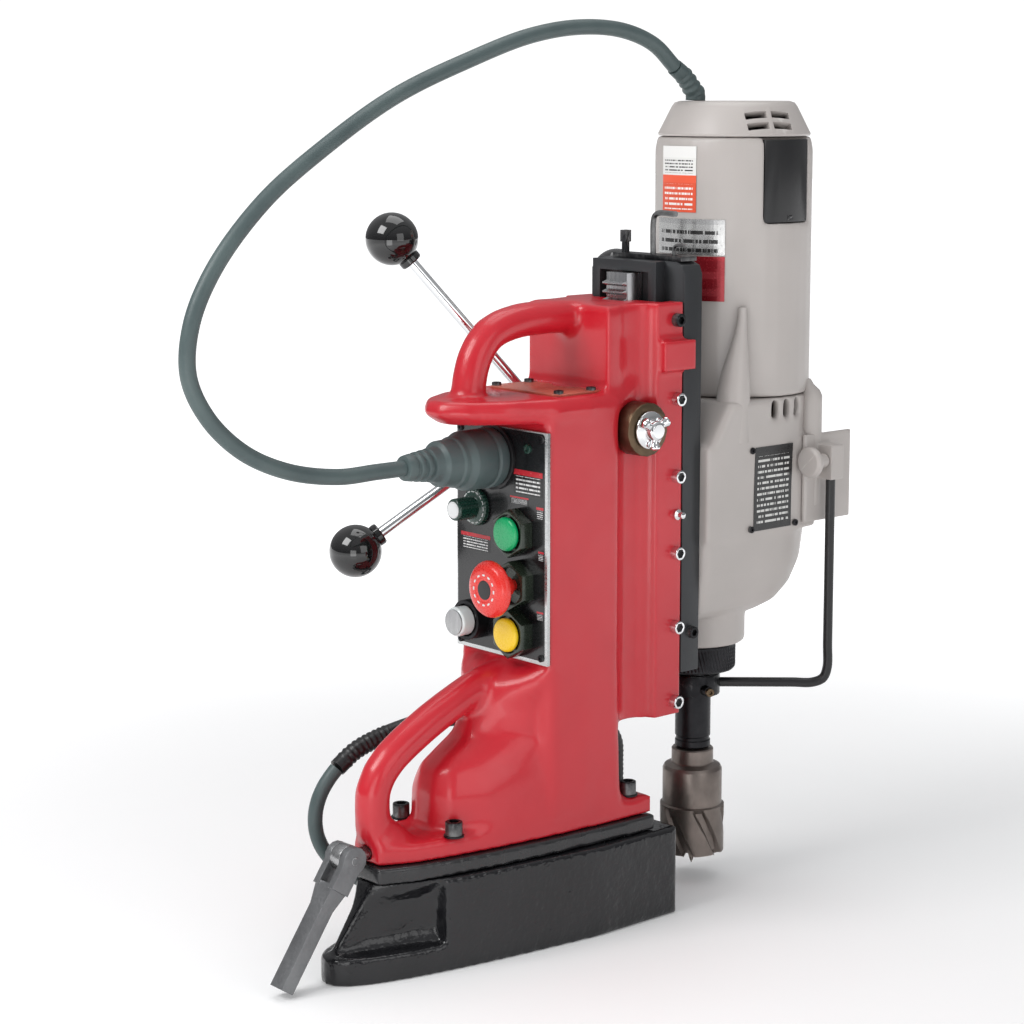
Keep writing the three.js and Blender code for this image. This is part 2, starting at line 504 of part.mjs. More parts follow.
const spokeAngles = [0, 1, 2, 3].map((i) => THREE.MathUtils.degToRad(FEED.first + 90 * i));
const cone = THREE.MathUtils.degToRad(FEED.cone);
const onSpokes = (make) => spokeAngles.map((angle) => make().rotateZ(cone).rotateX(angle));
const ballSeat = FEED.reach - FEED.ballR;
const handle = assembly(feed, FEED.hubX, 0, 0);
put(handle, 'feed_spider', cut(join(bar('x', FEED.hubR, -FEED.hubLength / 2, FEED.hubLength / 2, [0, 0], 20),
  ...onSpokes(() => bar('y', FEED.spokeR, 12, ballSeat + 12, [0, 0], 10))),
bar('x', PINION.shaftR + GAP, -FEED.hubLength, FEED.hubLength)), CHROME);
onSpokes(() => toGeometry(cut(
  join(new THREE.SphereGeometry(FEED.ballR, 12, 8).translate(0, FEED.reach, 0),
    bar('y', 9, ballSeat - 6, ballSeat + 5, [0, 0], 12)),
  bar('y', FEED.spokeR + GAP, ballSeat - 8, ballSeat + 12 + GAP, [0, 0], 10))))
  .forEach((ball, i) => put(handle, `ball_knob_${i + 1}`, ball, BLACK_PLASTIC));

const lobes = [0, 1, 2].map((i) => {
  const arm = join(bar('y', 3, 0, 13, [0, 0], 8), new THREE.SphereGeometry(4.2, 8, 4).translate(0, 13, 0));
  return toGeometry(arm).translate(6, 0, 0).rotateX((2 * Math.PI * i) / 3 + 0.5);
});
put(assembly(feed, BUSH.outer + GAP, 0, 0), 'shaft_lock_knob', join(
  bar('x', 14, 0, 2.5, [0, 0], 18), bar('x', 7, 2, 11, [0, 0], 14), ...lobes), CHROME);

// ---------------------------------------------------------------- carriage: slide, rack, key holder

const SLIDE_BACK = SLIDE_FRONT + SLIDE.thickness;
const KEYS = [
  { name: 'large', x: 7, y: 165, r: 2.2, rise: 33, arm: 24 },
  { name: 'small', x: 29, y: 165, r: 1.3, rise: 9, arm: 14 },
];
const HOLDER = { x0: -28, x1: 45, thickness: 3.5 };

function slidePlate() {
  const c = SLIDE.cornerR;
  const w = COLUMN.halfWidth;
  const face = [[-w, SLIDE.bottom], [w, SLIDE.bottom], [w, SLIDE.top - c], [w - 0.3 * c, SLIDE.top - 0.3 * c],
    [w - c, SLIDE.top], [c - w, SLIDE.top], [0.3 * c - w, SLIDE.top - 0.3 * c], [-w, SLIDE.top - c]];
  const back = alongY(face, SLIDE_FRONT, SLIDE_BACK);
  const ends = [DOVETAIL.front, SLIDE_FRONT + 1];
  const tongue = plate([...ends.map((y) => [flankX(y), y]), ...ends.map((y) => [-flankX(y), y]).reverse()],
    SLIDE.bottom, SLIDE.top);
  const window = block(-DOVETAIL.window, DOVETAIL.window, DOVETAIL.front - 5, RACK.floor,
    SLIDE.bottom + 3, DOVETAIL.windowTop);
  const keySockets = KEYS.map(({ x, y, r }) => bar('z', r + GAP, SLIDE.top - 10, SLIDE.top + 1, [x, y], 10));
  return cut(join(back, tongue), window, ...keySockets);
}
put(press, 'slide_plate', slidePlate(), GREY_STEEL);

// The rack's teeth, with a space opposite the pinion's axis.
function rackOutline() {
  const pitch = Math.PI * PINION.module;
  const crest = RACK.pitchY - 0.9 * PINION.module;
  const root = RACK.pitchY + 1.2 * PINION.module;
  const below = Math.floor((PINION.z - RACK.bottom) / pitch);
  const above = Math.floor((RACK.top - PINION.z) / pitch);
  const teeth = Array.from({ length: below + above }, (_, i) => PINION.z + (i - below + 0.5) * pitch);
  const flanks = teeth.flatMap((z) => [[root, z - 0.2875 * pitch], [crest, z - 0.1 * pitch],
    [crest, z + 0.1 * pitch], [root, z + 0.2875 * pitch]]);
  const back = RACK.floor - GAP;
  return [[back, RACK.bottom], [root, RACK.bottom], ...flanks, [root, RACK.top], [back, RACK.top]];
}
put(press, 'rack', alongX(rackOutline(), -RACK.halfWidth, RACK.halfWidth), GREY_STEEL);

const holderBottom = SLIDE.top + GAP;
const holderTop = holderBottom + HOLDER.thickness;
const stopPost = join(bar('z', 3, holderBottom + 1, holderTop + 12, [-22, 164], 10),
  ...[[161, 163.2], [164.8, 167]].map(([y0, y1]) => block(-25, -19, y0, y1, holderTop + 8, holderTop + 17)));
const holderPlate = block(HOLDER.x0, HOLDER.x1, SLIDE_FRONT + 1, SLIDE_BACK - 1, holderBottom, holderTop);
put(press, 'key_holder', cut(
  join(holderPlate, stopPost),
  ...KEYS.map(({ x, y, r }) => bar('z', r + GAP, holderBottom - 1, holderTop + 1, [x, y], 10))), BLACK_STEEL);
KEYS.forEach(({ name, x, y, r, rise, arm }) => {
  const bend = 2.5 * r;
  const top = rise - r;
  const key = bent([[0, 0, -12], [0, 0, top - bend], [0.3 * bend, 0, top - 0.3 * bend], [bend, 0, top], [arm, 0, top]],
    r, 12, 8);
  put(assembly(press, x, y, holderTop), `hex_key_${name}`, key, BLACK_STEEL);
});

// ---------------------------------------------------------------- carriage: gear case and motor

// A level outline with a flat front on the slide and a round back about the motor's axis.
function caseOutline(halfWidth, back, front = SLIDE_BACK + GAP) {
  const centre = Math.min(MOTOR.y, back - halfWidth * 0.55);
  const arc = [0, 15, 30, 45, 60, 75, 90].map((degrees) => {
    const angle = THREE.MathUtils.degToRad(degrees);
    return [halfWidth * Math.cos(angle), centre + (back - centre) * Math.sin(angle)];
  });
  arc[arc.length - 1][0] = 0;
  return right([[halfWidth - 4, front], [halfWidth, front + 4], ...arc]);
}

const WHEEL = { cavityR: 30, layR: 13, floor: 242, motorFloor: 292, firstR: 51 };
const VENT = { bottom: 371, top: 386, apart: 0.22 };
const motorBack = MOTOR.y + MOTOR.r;
const innerR = MOTOR.r - MOTOR.wall;

function gearCase() {
  const body = loft([
    { z: GEAR_CASE.belly, points: caseOutline(39, 262) },
    { z: 226, points: caseOutline(47, 280) },
    { z: 238, points: caseOutline(52, 300) },
    { z: 256, points: caseOutline(56, 314) },
    { z: GEAR_CASE.padBottom, points: caseOutline(57.5, 319) },
    { z: MOTOR.split - 40, points: caseOutline(59.5, motorBack - 0.5) },
    { z: MOTOR.split - GAP, points: caseOutline(MOTOR.r, motorBack, MOTOR.y - MOTOR.r) },
  ]);
  const pads = block(-GEAR_CASE.padX, GEAR_CASE.padX, SLIDE_BACK + GAP, 296, GEAR_CASE.padBottom, GEAR_CASE.padTop);
  const neck = bar('z', GEAR_CASE.neckR, GEAR_CASE.neckBottom, GEAR_CASE.belly + 20, [0, SPINDLE.y], 28);
  const room = bar('z', WHEEL.firstR, WHEEL.motorFloor, MOTOR.split + 1, [0, MOTOR.y], 28);
  const wheelRoom = bar('z', WHEEL.cavityR, WHEEL.floor, 350, [0, SPINDLE.y], 24);
  const layRoom = bar('z', WHEEL.layR, WHEEL.floor, 350, [LAYSHAFT.x, LAYSHAFT.y], 18);
  const bearingBore = bar('z', BEARING.R + GAP, GEAR_CASE.neckBottom - 1, WHEEL.floor + 1, [0, SPINDLE.y], 20);
  const vents = [-1, 0, 1].flatMap((i) => [1, -1].map((side) => {
    const slot = block(40, 70, -3.3, 3.3, VENT.bottom, VENT.top).rotateZ((side > 0 ? 0 : Math.PI) + VENT.apart * i);
    return slot.translate(0, MOTOR.y, 0);
  }));
  return cut(join(body, pads, neck), room, wheelRoom, layRoom, bearingBore, ...vents);
}

const BEARING = { R: 24, height: 44 };
const stageOne = ((FIRST_STAGE.pinionTeeth + FIRST_STAGE.wheelTeeth) * FIRST_STAGE.module) / 2;
const stageTwo = ((LAST_STAGE.pinionTeeth + LAST_STAGE.wheelTeeth) * LAST_STAGE.module) / 2;
const apart = MOTOR.y - SPINDLE.y;
const layY = (stageTwo ** 2 - stageOne ** 2 + apart ** 2) / (2 * apart);
const LAYSHAFT = { x: Math.sqrt(stageTwo ** 2 - layY ** 2), y: SPINDLE.y + layY, r: 5 };

put(press, 'gear_case', gearCase(), GREY_CAST);

const BRUSH = { depth: 7.6, halfWidth: 23.6, bottom: 521 };

// The part of a ring about the motor's axis that lies within a band on its right side.
function brushSector(outer, depth, halfWidth, z0, z1) {
  const band = block(20, 80, -halfWidth, halfWidth, z0, z1);
  return toSolid(ring(MOTOR.r - depth, outer, z0, z1, 32)).intersect(toSolid(band));
}

// Upper motor housing: a shell with brush openings at its sides and vent slots through its sloped top.
function motorShell() {
  const rise = MOTOR.shoulder - 10;
  const outside = loft([
    { z: MOTOR.split, points: circle(MOTOR.r, 32) },
    { z: rise, points: circle(MOTOR.r, 32) },
    { z: MOTOR.shoulder, points: circle(MOTOR.r - 2, 32) },
  ]);
  const bore = bar('z', innerR, MOTOR.split - 1, MOTOR.shoulder - 12, [0, 0], 28);
  const upper = bar('z', innerR - 8, MOTOR.split, MOTOR.shoulder + 1, [0, 0], 24);
  const recess = toGeometry(brushSector(MOTOR.r + 5, BRUSH.depth + GAP, BRUSH.halfWidth + GAP, BRUSH.bottom,
    MOTOR.shoulder + 1));
  return cut(outside, bore, upper, recess, mirrored(recess));
}

const motor = assembly(press, 0, MOTOR.y, 0);
put(motor, 'motor_housing', motorShell(), GREY_CAST);

const brushCover = toGeometry(brushSector(MOTOR.r - 1, BRUSH.depth, BRUSH.halfWidth, BRUSH.bottom + GAP,
  MOTOR.shoulder - 2));
put(motor, 'brush_cover_right', brushCover, BLACK_PLASTIC);
put(motor, 'brush_cover_left', mirrored(brushCover), BLACK_PLASTIC);

const RELIEF_EXIT = { x: -14, y: 230 - MOTOR.y };
const capBottom = MOTOR.shoulder + GAP;
const CAP_SLOTS_AT = THREE.MathUtils.degToRad(74);
function motorCap() {
  const dome = loft([
    { z: capBottom, points: circle(MOTOR.r - 2, 32) },
    { z: MOTOR.top - 4, points: circle(MOTOR.topR + 2, 32) },
    { z: MOTOR.top, points: circle(MOTOR.topR - 3, 32) },
  ]);
  const hollow = bar('z', innerR - 8, capBottom - 1, MOTOR.top - 12, [0, 0], 24);
  const bearingSeat = bar('z', 11 + GAP, MOTOR.top - 14, MOTOR.top - 5, [0, 0], 14);
  const slots = [[8, 26], [32, 50]].flatMap(([x0, x1]) => [[-48, -42], [-56, -50]].map(([y0, y1]) => block(x0 - 28,
    x1 - 28, y0, y1, capBottom - 1, MOTOR.top + 1)));
  return cut(dome, hollow, bearingSeat, ...slots.map((slot) => slot.rotateZ(CAP_SLOTS_AT)),
    bar('z', 6, MOTOR.top - 16, MOTOR.top + 1, [RELIEF_EXIT.x, RELIEF_EXIT.y], 10));
}
put(motor, 'motor_cap', motorCap(), GREY_CAST);

put(motor, 'motor_field', ring(30, innerR - 1, 405, 485, 28), COPPER);

// ---------------------------------------------------------------- turning parts

const spindleAxis = assembly(press, 0, SPINDLE.y, 0);
const bearing = (r, R, z0, height) => ring(holeRadius(r, RUN, 20), R, z0, z0 + height, 20);
put(spindleAxis, 'spindle_bearing',
  bearing(SPINDLE.shaftR, BEARING.R, GEAR_CASE.neckBottom + 2, BEARING.height), GREY_STEEL);

const toLay = Math.atan2(LAYSHAFT.y - MOTOR.y, LAYSHAFT.x);
const toSpindle = Math.atan2(SPINDLE.y - LAYSHAFT.y, -LAYSHAFT.x);
const gear = ({ module }, teeth, z0, z1, phase) => plate(teethOutline(teeth, module, phase), z0, z1);
const halfTooth = (teeth) => Math.PI / teeth;

const fanBlades = Array.from({ length: 7 }, (_, i) => block(14, 48, -1.2, 1.2, 352, 364)
  .rotateZ((2 * Math.PI * i) / 7));
put(motor, 'armature', join(
  bar('z', MOTOR.shaftR, 318, MOTOR.top - 6, [0, 0], 18),
  gear(FIRST_STAGE, FIRST_STAGE.pinionTeeth, 298, 319, toLay),
  bar('z', 28, 405, 485, [0, 0], 20), bar('z', 17, 500, 528, [0, 0], 18),
  bar('z', 16, 350, 366, [0, 0], 14), bar('z', 46, 350, 353, [0, 0], 20), ...fanBlades), COPPER);

put(assembly(press, LAYSHAFT.x, LAYSHAFT.y, 0), 'intermediate_gears', join(
  bar('z', LAYSHAFT.r, WHEEL.floor + GAP, 332, [0, 0], 14),
  gear(LAST_STAGE, LAST_STAGE.pinionTeeth, 268, 288, toSpindle),
  gear(FIRST_STAGE, FIRST_STAGE.wheelTeeth, 301, 314,
    toLay + Math.PI + halfTooth(FIRST_STAGE.wheelTeeth))), GREY_STEEL);

put(spindleAxis, 'spindle', join(
  bar('z', SPINDLE.shaftR, 190, 292, [0, 0], 20), bar('z', 17, ARBOR.top + GAP, 191, [0, 0], 20),
  gear(LAST_STAGE, LAST_STAGE.wheelTeeth, 271, 284,
    toSpindle + Math.PI + halfTooth(LAST_STAGE.wheelTeeth))), CHROME);
put(spindleAxis, 'knurled_ring', ring(18, 33, 171, GEAR_CASE.neckBottom - GAP, 40), BLACK_STEEL);
put(spindleAxis, 'arbor', bar('z', SPINDLE.shaftR, ARBOR.bottom, ARBOR.top, [0, 0], 20), BLACK_STEEL);

function cutter() {
  const body = turned([[0, CUTTER.body + 13.7], [CUTTER.shankR, CUTTER.body + 13.7], [CUTTER.shankR, CUTTER.body + 2],
    [CUTTER.bodyR - 2, CUTTER.body], [CUTTER.bodyR, CUTTER.body - 3], [CUTTER.bodyR, CUTTER.flute],
    [CUTTER.fluteR, CUTTER.flute - 2], [CUTTER.fluteR, CUTTER.bottom], [CUTTER.boreR, CUTTER.bottom],
    [CUTTER.boreR, CUTTER.body - 16], [0, CUTTER.body - 15]], 28);
  const flutes = Array.from({ length: CUTTER.teeth }, (_, i) => {
    const slot = block(CUTTER.fluteR - 2.4, CUTTER.fluteR + 4, -2, 2, CUTTER.bottom - 8, CUTTER.flute + 6);
    return slot.translate(0, 0, -CUTTER.bottom).rotateX(-0.42).translate(0, 0, CUTTER.bottom)
      .rotateZ((2 * Math.PI * i) / CUTTER.teeth);
  });
  const gullets = Array.from({ length: CUTTER.teeth }, (_, i) => block(CUTTER.boreR - 3, CUTTER.fluteR + 3, 0, 6,
    CUTTER.bottom - 3, CUTTER.bottom + 4).rotateZ((2 * Math.PI * i) / CUTTER.teeth));
  const pilot = turned([[0, PILOT.tip], [PILOT.r, PILOT.tip + 8], [PILOT.r, CUTTER.body - 14],
    [0, CUTTER.body - 14]], 12);
  return join(cut(body, ...flutes, ...gullets), pilot);
}
put(spindleAxis, 'annular_cutter', cutter(), CUTTER_STEEL);

// ---------------------------------------------------------------- coolant: collar, tube, bracket, valve

const TUBE_TURN = { x: 71, y: 298, top: 321 };
const tubeStart = new THREE.Vector2(TUBE_TURN.x, TUBE_TURN.y - SPINDLE.y).normalize();
const collarZ = (COLLAR.bottom + ARBOR.top) / 2;
const clampAt = new THREE.Vector2(0.94, -0.34).multiplyScalar(COLLAR.r - 1);
const clampScrew = bar('y', 4, 0, 8, [0, 0], 10).rotateZ(-Math.PI / 2 - 0.35)
  .translate(clampAt.x, clampAt.y, collarZ - 2);
put(spindleAxis, 'coolant_collar', join(
  ring(holeRadius(SPINDLE.shaftR, 0.3, 24), COLLAR.r, COLLAR.bottom, ARBOR.top, 24), clampScrew), BLACK_STEEL);
const leave = COLLAR.r + 1;
put(press, 'coolant_tube', bent([
  [tubeStart.x * leave, SPINDLE.y + tubeStart.y * leave, collarZ],
  [tubeStart.x * 60, SPINDLE.y + tubeStart.y * 60, collarZ],
  [tubeStart.x * 90, SPINDLE.y + tubeStart.y * 90, collarZ],
  [TUBE_TURN.x - 3, TUBE_TURN.y - 3.5, collarZ + 4], [TUBE_TURN.x, TUBE_TURN.y, collarZ + 14],
  [TUBE_TURN.x, TUBE_TURN.y, collarZ + 60], [TUBE_TURN.x, TUBE_TURN.y, TUBE_TURN.top - GAP]],
TUBE.r, 16, 8), BLACK_PLASTIC);

const bracketX = GEAR_CASE.padX + GAP;
const bracketFace = bracketX + BRACKET.thickness;
put(press, 'coolant_bracket', join(
  block(bracketX, bracketFace, BRACKET.front, BRACKET.back, BRACKET.bottom, BRACKET.top),
  block(bracketFace - 1, TUBE_TURN.x + 7, TUBE_TURN.y - 7, TUBE_TURN.y + 7, TUBE_TURN.top, 348)), GREY_CAST);
put(assembly(press, TUBE_TURN.x, TUBE_TURN.y - 7 - GAP, 336), 'coolant_valve_knob', join(
  bar('y', 5.5, -16, 0, [0, 0], 12), bar('y', 12, -20, -14, [0, 0], 18)), GREY_CAST);

// ---------------------------------------------------------------- base lock

const stud = assembly(press, 0, STUD.y, STUD_Z);
put(stud, 'lock_stud', cut(
  join(bar('y', STUD.r, 0, 50, [0, 0], 12), bar('x', STUD.eyeR, -STUD.eyeHalf, STUD.eyeHalf, [0, 0], 18)),
  bar('x', holeRadius(STUD.pinR, RUN, 10), -20, 20, [0, 0], 10)), GREY_STEEL);

const tineIn = STUD.eyeHalf + GAP;
const tineOut = tineIn + LEVER.tine;
function lockLever() {
  const tine = join(block(tineIn, tineOut, -8, 8, -LEVER.fork, 0), bar('x', 10, tineIn, tineOut, [0, 0], 14));
  const crotch = loft([
    { z: -LEVER.fork - 14, points: right([[LEVER.width / 2, -LEVER.thickness / 2],
      [LEVER.width / 2, LEVER.thickness / 2]]) },
    { z: -LEVER.fork + 9, points: right([[tineOut, -8], [tineOut, 8]]) },
  ]);
  const shaft = block(-LEVER.width / 2, LEVER.width / 2, -LEVER.thickness / 2, LEVER.thickness / 2,
    -LEVER.length, -LEVER.fork - 13);
  const throat = block(-tineIn, tineIn, -20, 20, -LEVER.fork + 3, 20);
  const eyeRoom = bar('x', STUD.eyeR + 1.5, -tineIn, tineIn, [0, 0], 18);
  const pin = bar('x', STUD.pinR, -tineOut - 0.5, tineOut + 0.5, [0, 0], 10);
  return join(cut(join(tine, mirrored(toGeometry(tine)), crotch, shaft), throat, eyeRoom), pin);
}
const lever = assembly(stud);
lever.rotation.x = THREE.MathUtils.degToRad(-LEVER.lean);
put(lever, 'lock_lever', lockLever(), GREY_STEEL);

// ---------------------------------------------------------------- cords

const PLUG = { back: socketFace - GAP, length: 82 };
const plugProfile = [
  [0, 0], [22, 0], [22, 30], [19, 36], [17, 52], [11.5, 58], [9, PLUG.length], [0, PLUG.length],
];
const leadPlug = turned(plugProfile, 28).rotateX(Math.PI / 2).translate(SOCKET.x, PLUG.back, SOCKET.z);
put(press, 'lead_plug', leadPlug, GREY_RUBBER);

const leadPoints = [
  [-8, -66.1, 357], [-8, -90, 357], [-8, -123, 357], [-9, -165, 365], [-9, -202, 382], [-9, -230, 408],
  [-10, -243, 436], [-10, -240, 469], [-10, -222, 504], [-11, -181, 547], [-11, -129, 583], [-12, -67, 617],
  [-12, -1, 642], [-12, 58, 660], [-13, 109, 667], [-13, 152, 665], [-13, 184, 655], [-13.5, 206, 639],
];
put(press, 'motor_lead', bent(leadPoints, LEAD.r, 30, LEAD.sides), GREY_RUBBER);
const reliefPoints = [
  [-13.5, 206.6, 638.4], [-13.8, 218, 631], [-14, 226.5, 622], [-14, 230, MOTOR.top + 5],
  [-14, 230, MOTOR.top + GAP],
];
put(press, 'lead_relief', bent(reliefPoints, 8, 6, 12), GREY_RUBBER);

const sleevePoints = [
  [-44, ...MAINS_EXIT], [-51, ...MAINS_EXIT], [-58, 32, 152], [-63, 22, 152], [-66, 5, 151], [-70, -40, 145],
  [-71.3, -62, 138.5], [-72, -78, 128.5],
];
put(press, 'mains_sleeve', bent(sleevePoints, MAINS.sleeveR, 8, 10), BLACK_PLASTIC);
const mainsPoints = [
  [-72, -78.9, 127.9], [-72.9, -84.7, 122.5], [-74, -89.9, 115.4], [-75, -94, 106.7], [-75.8, -96.2, 97.3],
  [-76, -96.3, 87.7], [-75.8, -94.5, 78.3], [-75, -90.7, 69.4], [-73.9, -85.2, 61.5], [-72.7, -77.3, 54],
  [-71.2, -65.5, 44.8], [-70, -51, 34.2], [-70, -36, 24.3], [-71, -18, 14.6], [-73, 2, 8.6], [-75, 22, 6.4],
  [-77.2, 42, 6], [-83.3, 58, 6], [-91.4, 69.3, 6], [-102.5, 77.8, 6],
];
put(press, 'mains_cord', bent(mainsPoints, MAINS.r, 22, MAINS.sides), GREY_RUBBER);

const { x: coilX, y: coilY, meanR, half, height } = COIL_OF_CORD;
put(assembly(press, coilX, coilY, 0), 'mains_coil', turned([[meanR - half, 0.2], [meanR + half, 0.2],
  [meanR + half, height / 2], [meanR + half - 6, height], [meanR - half + 6, height], [meanR - half, height / 2],
  [meanR - half, 0.2]], 28), GREY_RUBBER);

const mainsPlug = assembly(press, -220, 192, 14.2);
mainsPlug.rotation.z = THREE.MathUtils.degToRad(15);
const plugBody = turned([[0, 0], [6, 0], [8, 14], [14, 20], [14, 44], [0, 44]], 20).rotateX(-Math.PI / 2);
put(mainsPlug, 'mains_plug', join(plugBody, block(-7.4, -5.6, 43, 61, -3, 3), block(5.6, 7.4, 43, 61, -3, 3),
  bar('y', 2.3, 43, 63, [0, 8], 8)), BLACK_PLASTIC);

export default press;
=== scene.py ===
"""Magnetic drill press: the looks of each piece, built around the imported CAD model.

Lengths are metres in the model's own frame: +Z up, the operator towards -Y, the drill motor
towards +Y, and the origin on the magnet's bottom face. Castings are softened copies of their CAD
solids, machined pieces are copies with broken edges, and turned, swept and formed pieces are
surfaces worked out on grids.
"""

from __future__ import annotations

import json
import logging
import math
import sys
from dataclasses import dataclass, field
from enum import Enum
from typing import Callable, Sequence

import bmesh
import bpy
import numpy as np
from mathutils import Matrix, Vector
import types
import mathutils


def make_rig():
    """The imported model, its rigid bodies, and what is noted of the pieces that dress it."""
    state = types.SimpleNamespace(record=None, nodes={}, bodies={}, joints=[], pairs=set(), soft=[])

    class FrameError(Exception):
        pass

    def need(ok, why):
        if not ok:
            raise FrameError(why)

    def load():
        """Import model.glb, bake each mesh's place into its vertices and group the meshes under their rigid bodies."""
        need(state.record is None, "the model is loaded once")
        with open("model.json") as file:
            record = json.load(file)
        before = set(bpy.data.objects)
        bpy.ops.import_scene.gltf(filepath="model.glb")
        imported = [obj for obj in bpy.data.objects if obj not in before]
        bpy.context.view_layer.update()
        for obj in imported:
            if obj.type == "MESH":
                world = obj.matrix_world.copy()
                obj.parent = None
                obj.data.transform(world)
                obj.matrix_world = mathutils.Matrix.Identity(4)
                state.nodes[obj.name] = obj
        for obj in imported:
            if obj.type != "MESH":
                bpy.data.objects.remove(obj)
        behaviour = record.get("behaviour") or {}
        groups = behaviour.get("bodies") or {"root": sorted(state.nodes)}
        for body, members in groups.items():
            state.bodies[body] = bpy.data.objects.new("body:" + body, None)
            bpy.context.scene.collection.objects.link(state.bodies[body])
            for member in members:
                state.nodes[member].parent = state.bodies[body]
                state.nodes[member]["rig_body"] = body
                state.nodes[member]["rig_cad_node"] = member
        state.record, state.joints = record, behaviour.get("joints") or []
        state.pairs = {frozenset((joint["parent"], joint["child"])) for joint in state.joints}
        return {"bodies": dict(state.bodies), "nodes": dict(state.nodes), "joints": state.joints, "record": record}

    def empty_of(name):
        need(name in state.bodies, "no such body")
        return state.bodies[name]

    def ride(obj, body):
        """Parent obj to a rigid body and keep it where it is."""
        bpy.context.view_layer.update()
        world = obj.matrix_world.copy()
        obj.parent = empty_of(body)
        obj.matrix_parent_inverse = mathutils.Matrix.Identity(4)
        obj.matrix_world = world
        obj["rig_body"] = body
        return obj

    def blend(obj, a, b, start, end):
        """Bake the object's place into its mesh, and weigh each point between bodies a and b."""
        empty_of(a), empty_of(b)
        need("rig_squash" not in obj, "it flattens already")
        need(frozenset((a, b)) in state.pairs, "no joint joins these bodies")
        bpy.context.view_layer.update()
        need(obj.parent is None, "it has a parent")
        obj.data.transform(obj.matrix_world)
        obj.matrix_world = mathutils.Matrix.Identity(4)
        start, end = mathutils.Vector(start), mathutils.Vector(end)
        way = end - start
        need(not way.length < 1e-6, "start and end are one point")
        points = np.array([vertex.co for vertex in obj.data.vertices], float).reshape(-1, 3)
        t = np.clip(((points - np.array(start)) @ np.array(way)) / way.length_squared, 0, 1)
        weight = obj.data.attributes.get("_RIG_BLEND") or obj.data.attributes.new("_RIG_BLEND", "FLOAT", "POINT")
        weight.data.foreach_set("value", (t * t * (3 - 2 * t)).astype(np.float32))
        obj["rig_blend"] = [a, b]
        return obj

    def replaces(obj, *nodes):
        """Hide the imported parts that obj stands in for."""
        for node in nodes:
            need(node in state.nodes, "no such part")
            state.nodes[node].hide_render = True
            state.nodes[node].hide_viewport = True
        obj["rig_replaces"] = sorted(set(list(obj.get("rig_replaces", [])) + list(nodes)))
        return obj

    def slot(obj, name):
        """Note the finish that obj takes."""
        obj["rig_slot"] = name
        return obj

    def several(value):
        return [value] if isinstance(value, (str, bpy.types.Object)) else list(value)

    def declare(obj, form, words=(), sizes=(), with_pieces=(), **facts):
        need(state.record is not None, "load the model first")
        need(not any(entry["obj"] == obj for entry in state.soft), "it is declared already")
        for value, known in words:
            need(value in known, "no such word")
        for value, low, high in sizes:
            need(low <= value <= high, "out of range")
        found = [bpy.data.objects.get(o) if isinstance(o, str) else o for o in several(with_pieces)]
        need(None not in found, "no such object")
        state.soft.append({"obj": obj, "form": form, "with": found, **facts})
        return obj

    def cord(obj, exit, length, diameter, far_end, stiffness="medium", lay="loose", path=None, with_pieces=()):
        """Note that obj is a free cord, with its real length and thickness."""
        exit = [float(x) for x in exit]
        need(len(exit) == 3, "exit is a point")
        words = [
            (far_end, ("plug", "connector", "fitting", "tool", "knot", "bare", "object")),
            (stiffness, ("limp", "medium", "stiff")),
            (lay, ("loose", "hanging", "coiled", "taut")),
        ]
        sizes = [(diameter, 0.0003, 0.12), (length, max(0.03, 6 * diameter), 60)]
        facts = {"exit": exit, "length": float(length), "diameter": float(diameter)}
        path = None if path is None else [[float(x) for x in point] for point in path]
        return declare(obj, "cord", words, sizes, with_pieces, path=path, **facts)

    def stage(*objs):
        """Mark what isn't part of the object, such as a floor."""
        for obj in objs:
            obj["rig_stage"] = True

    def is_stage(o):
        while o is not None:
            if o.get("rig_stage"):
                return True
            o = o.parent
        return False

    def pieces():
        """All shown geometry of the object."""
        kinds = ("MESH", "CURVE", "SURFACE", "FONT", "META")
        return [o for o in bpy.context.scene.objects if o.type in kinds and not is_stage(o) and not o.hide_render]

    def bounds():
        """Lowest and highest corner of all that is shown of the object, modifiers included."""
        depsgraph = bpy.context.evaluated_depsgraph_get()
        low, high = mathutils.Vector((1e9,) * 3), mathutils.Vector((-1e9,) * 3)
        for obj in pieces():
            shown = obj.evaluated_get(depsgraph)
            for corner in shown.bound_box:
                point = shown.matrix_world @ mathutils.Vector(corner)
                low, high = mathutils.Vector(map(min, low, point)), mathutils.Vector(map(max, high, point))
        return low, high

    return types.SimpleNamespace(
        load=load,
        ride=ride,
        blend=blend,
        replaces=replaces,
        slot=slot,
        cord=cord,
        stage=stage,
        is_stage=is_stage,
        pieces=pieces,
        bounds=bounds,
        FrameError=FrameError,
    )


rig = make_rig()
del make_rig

log = logging.getLogger("drill_press")
MM = 0.001
TURN = 2 * math.pi
Array = np.ndarray


class Axis(Enum):
    """The axis that a turned or extruded form is built along."""

    X = 0
    Y = 1
    Z = 2


# ---------------------------------------------------------------- forms


@dataclass
class Form:
    """Points and faces, not yet an object of the scene."""

    points: Array
    faces: list[list[int]]

    def moved(self, by: Matrix) -> Form:
        """The form carried by a 4x4 matrix.

        Args:
            by: the matrix, in the model's frame.

        Returns:
            A new form.
        """
        m = np.array(by)
        return Form(self.points @ m[:3, :3].T + m[:3, 3], self.faces)

    def at(self, x: float, y: float, z: float) -> Form:
        """The form shifted by a place in the model's frame."""
        return Form(self.points + np.array([x, y, z]), self.faces)


def together(forms: Sequence[Form]) -> Form:
    """Several forms as one.

    Args:
        forms: the forms, which keep their places.

    Returns:
        One form with all their points and faces.
    """
    starts = np.cumsum([0] + [len(f.points) for f in forms[:-1]])
    faces = [[i + int(start) for i in face] for f, start in zip(forms, starts) for face in f.faces]
    return Form(np.vstack([f.points for f in forms]), faces)


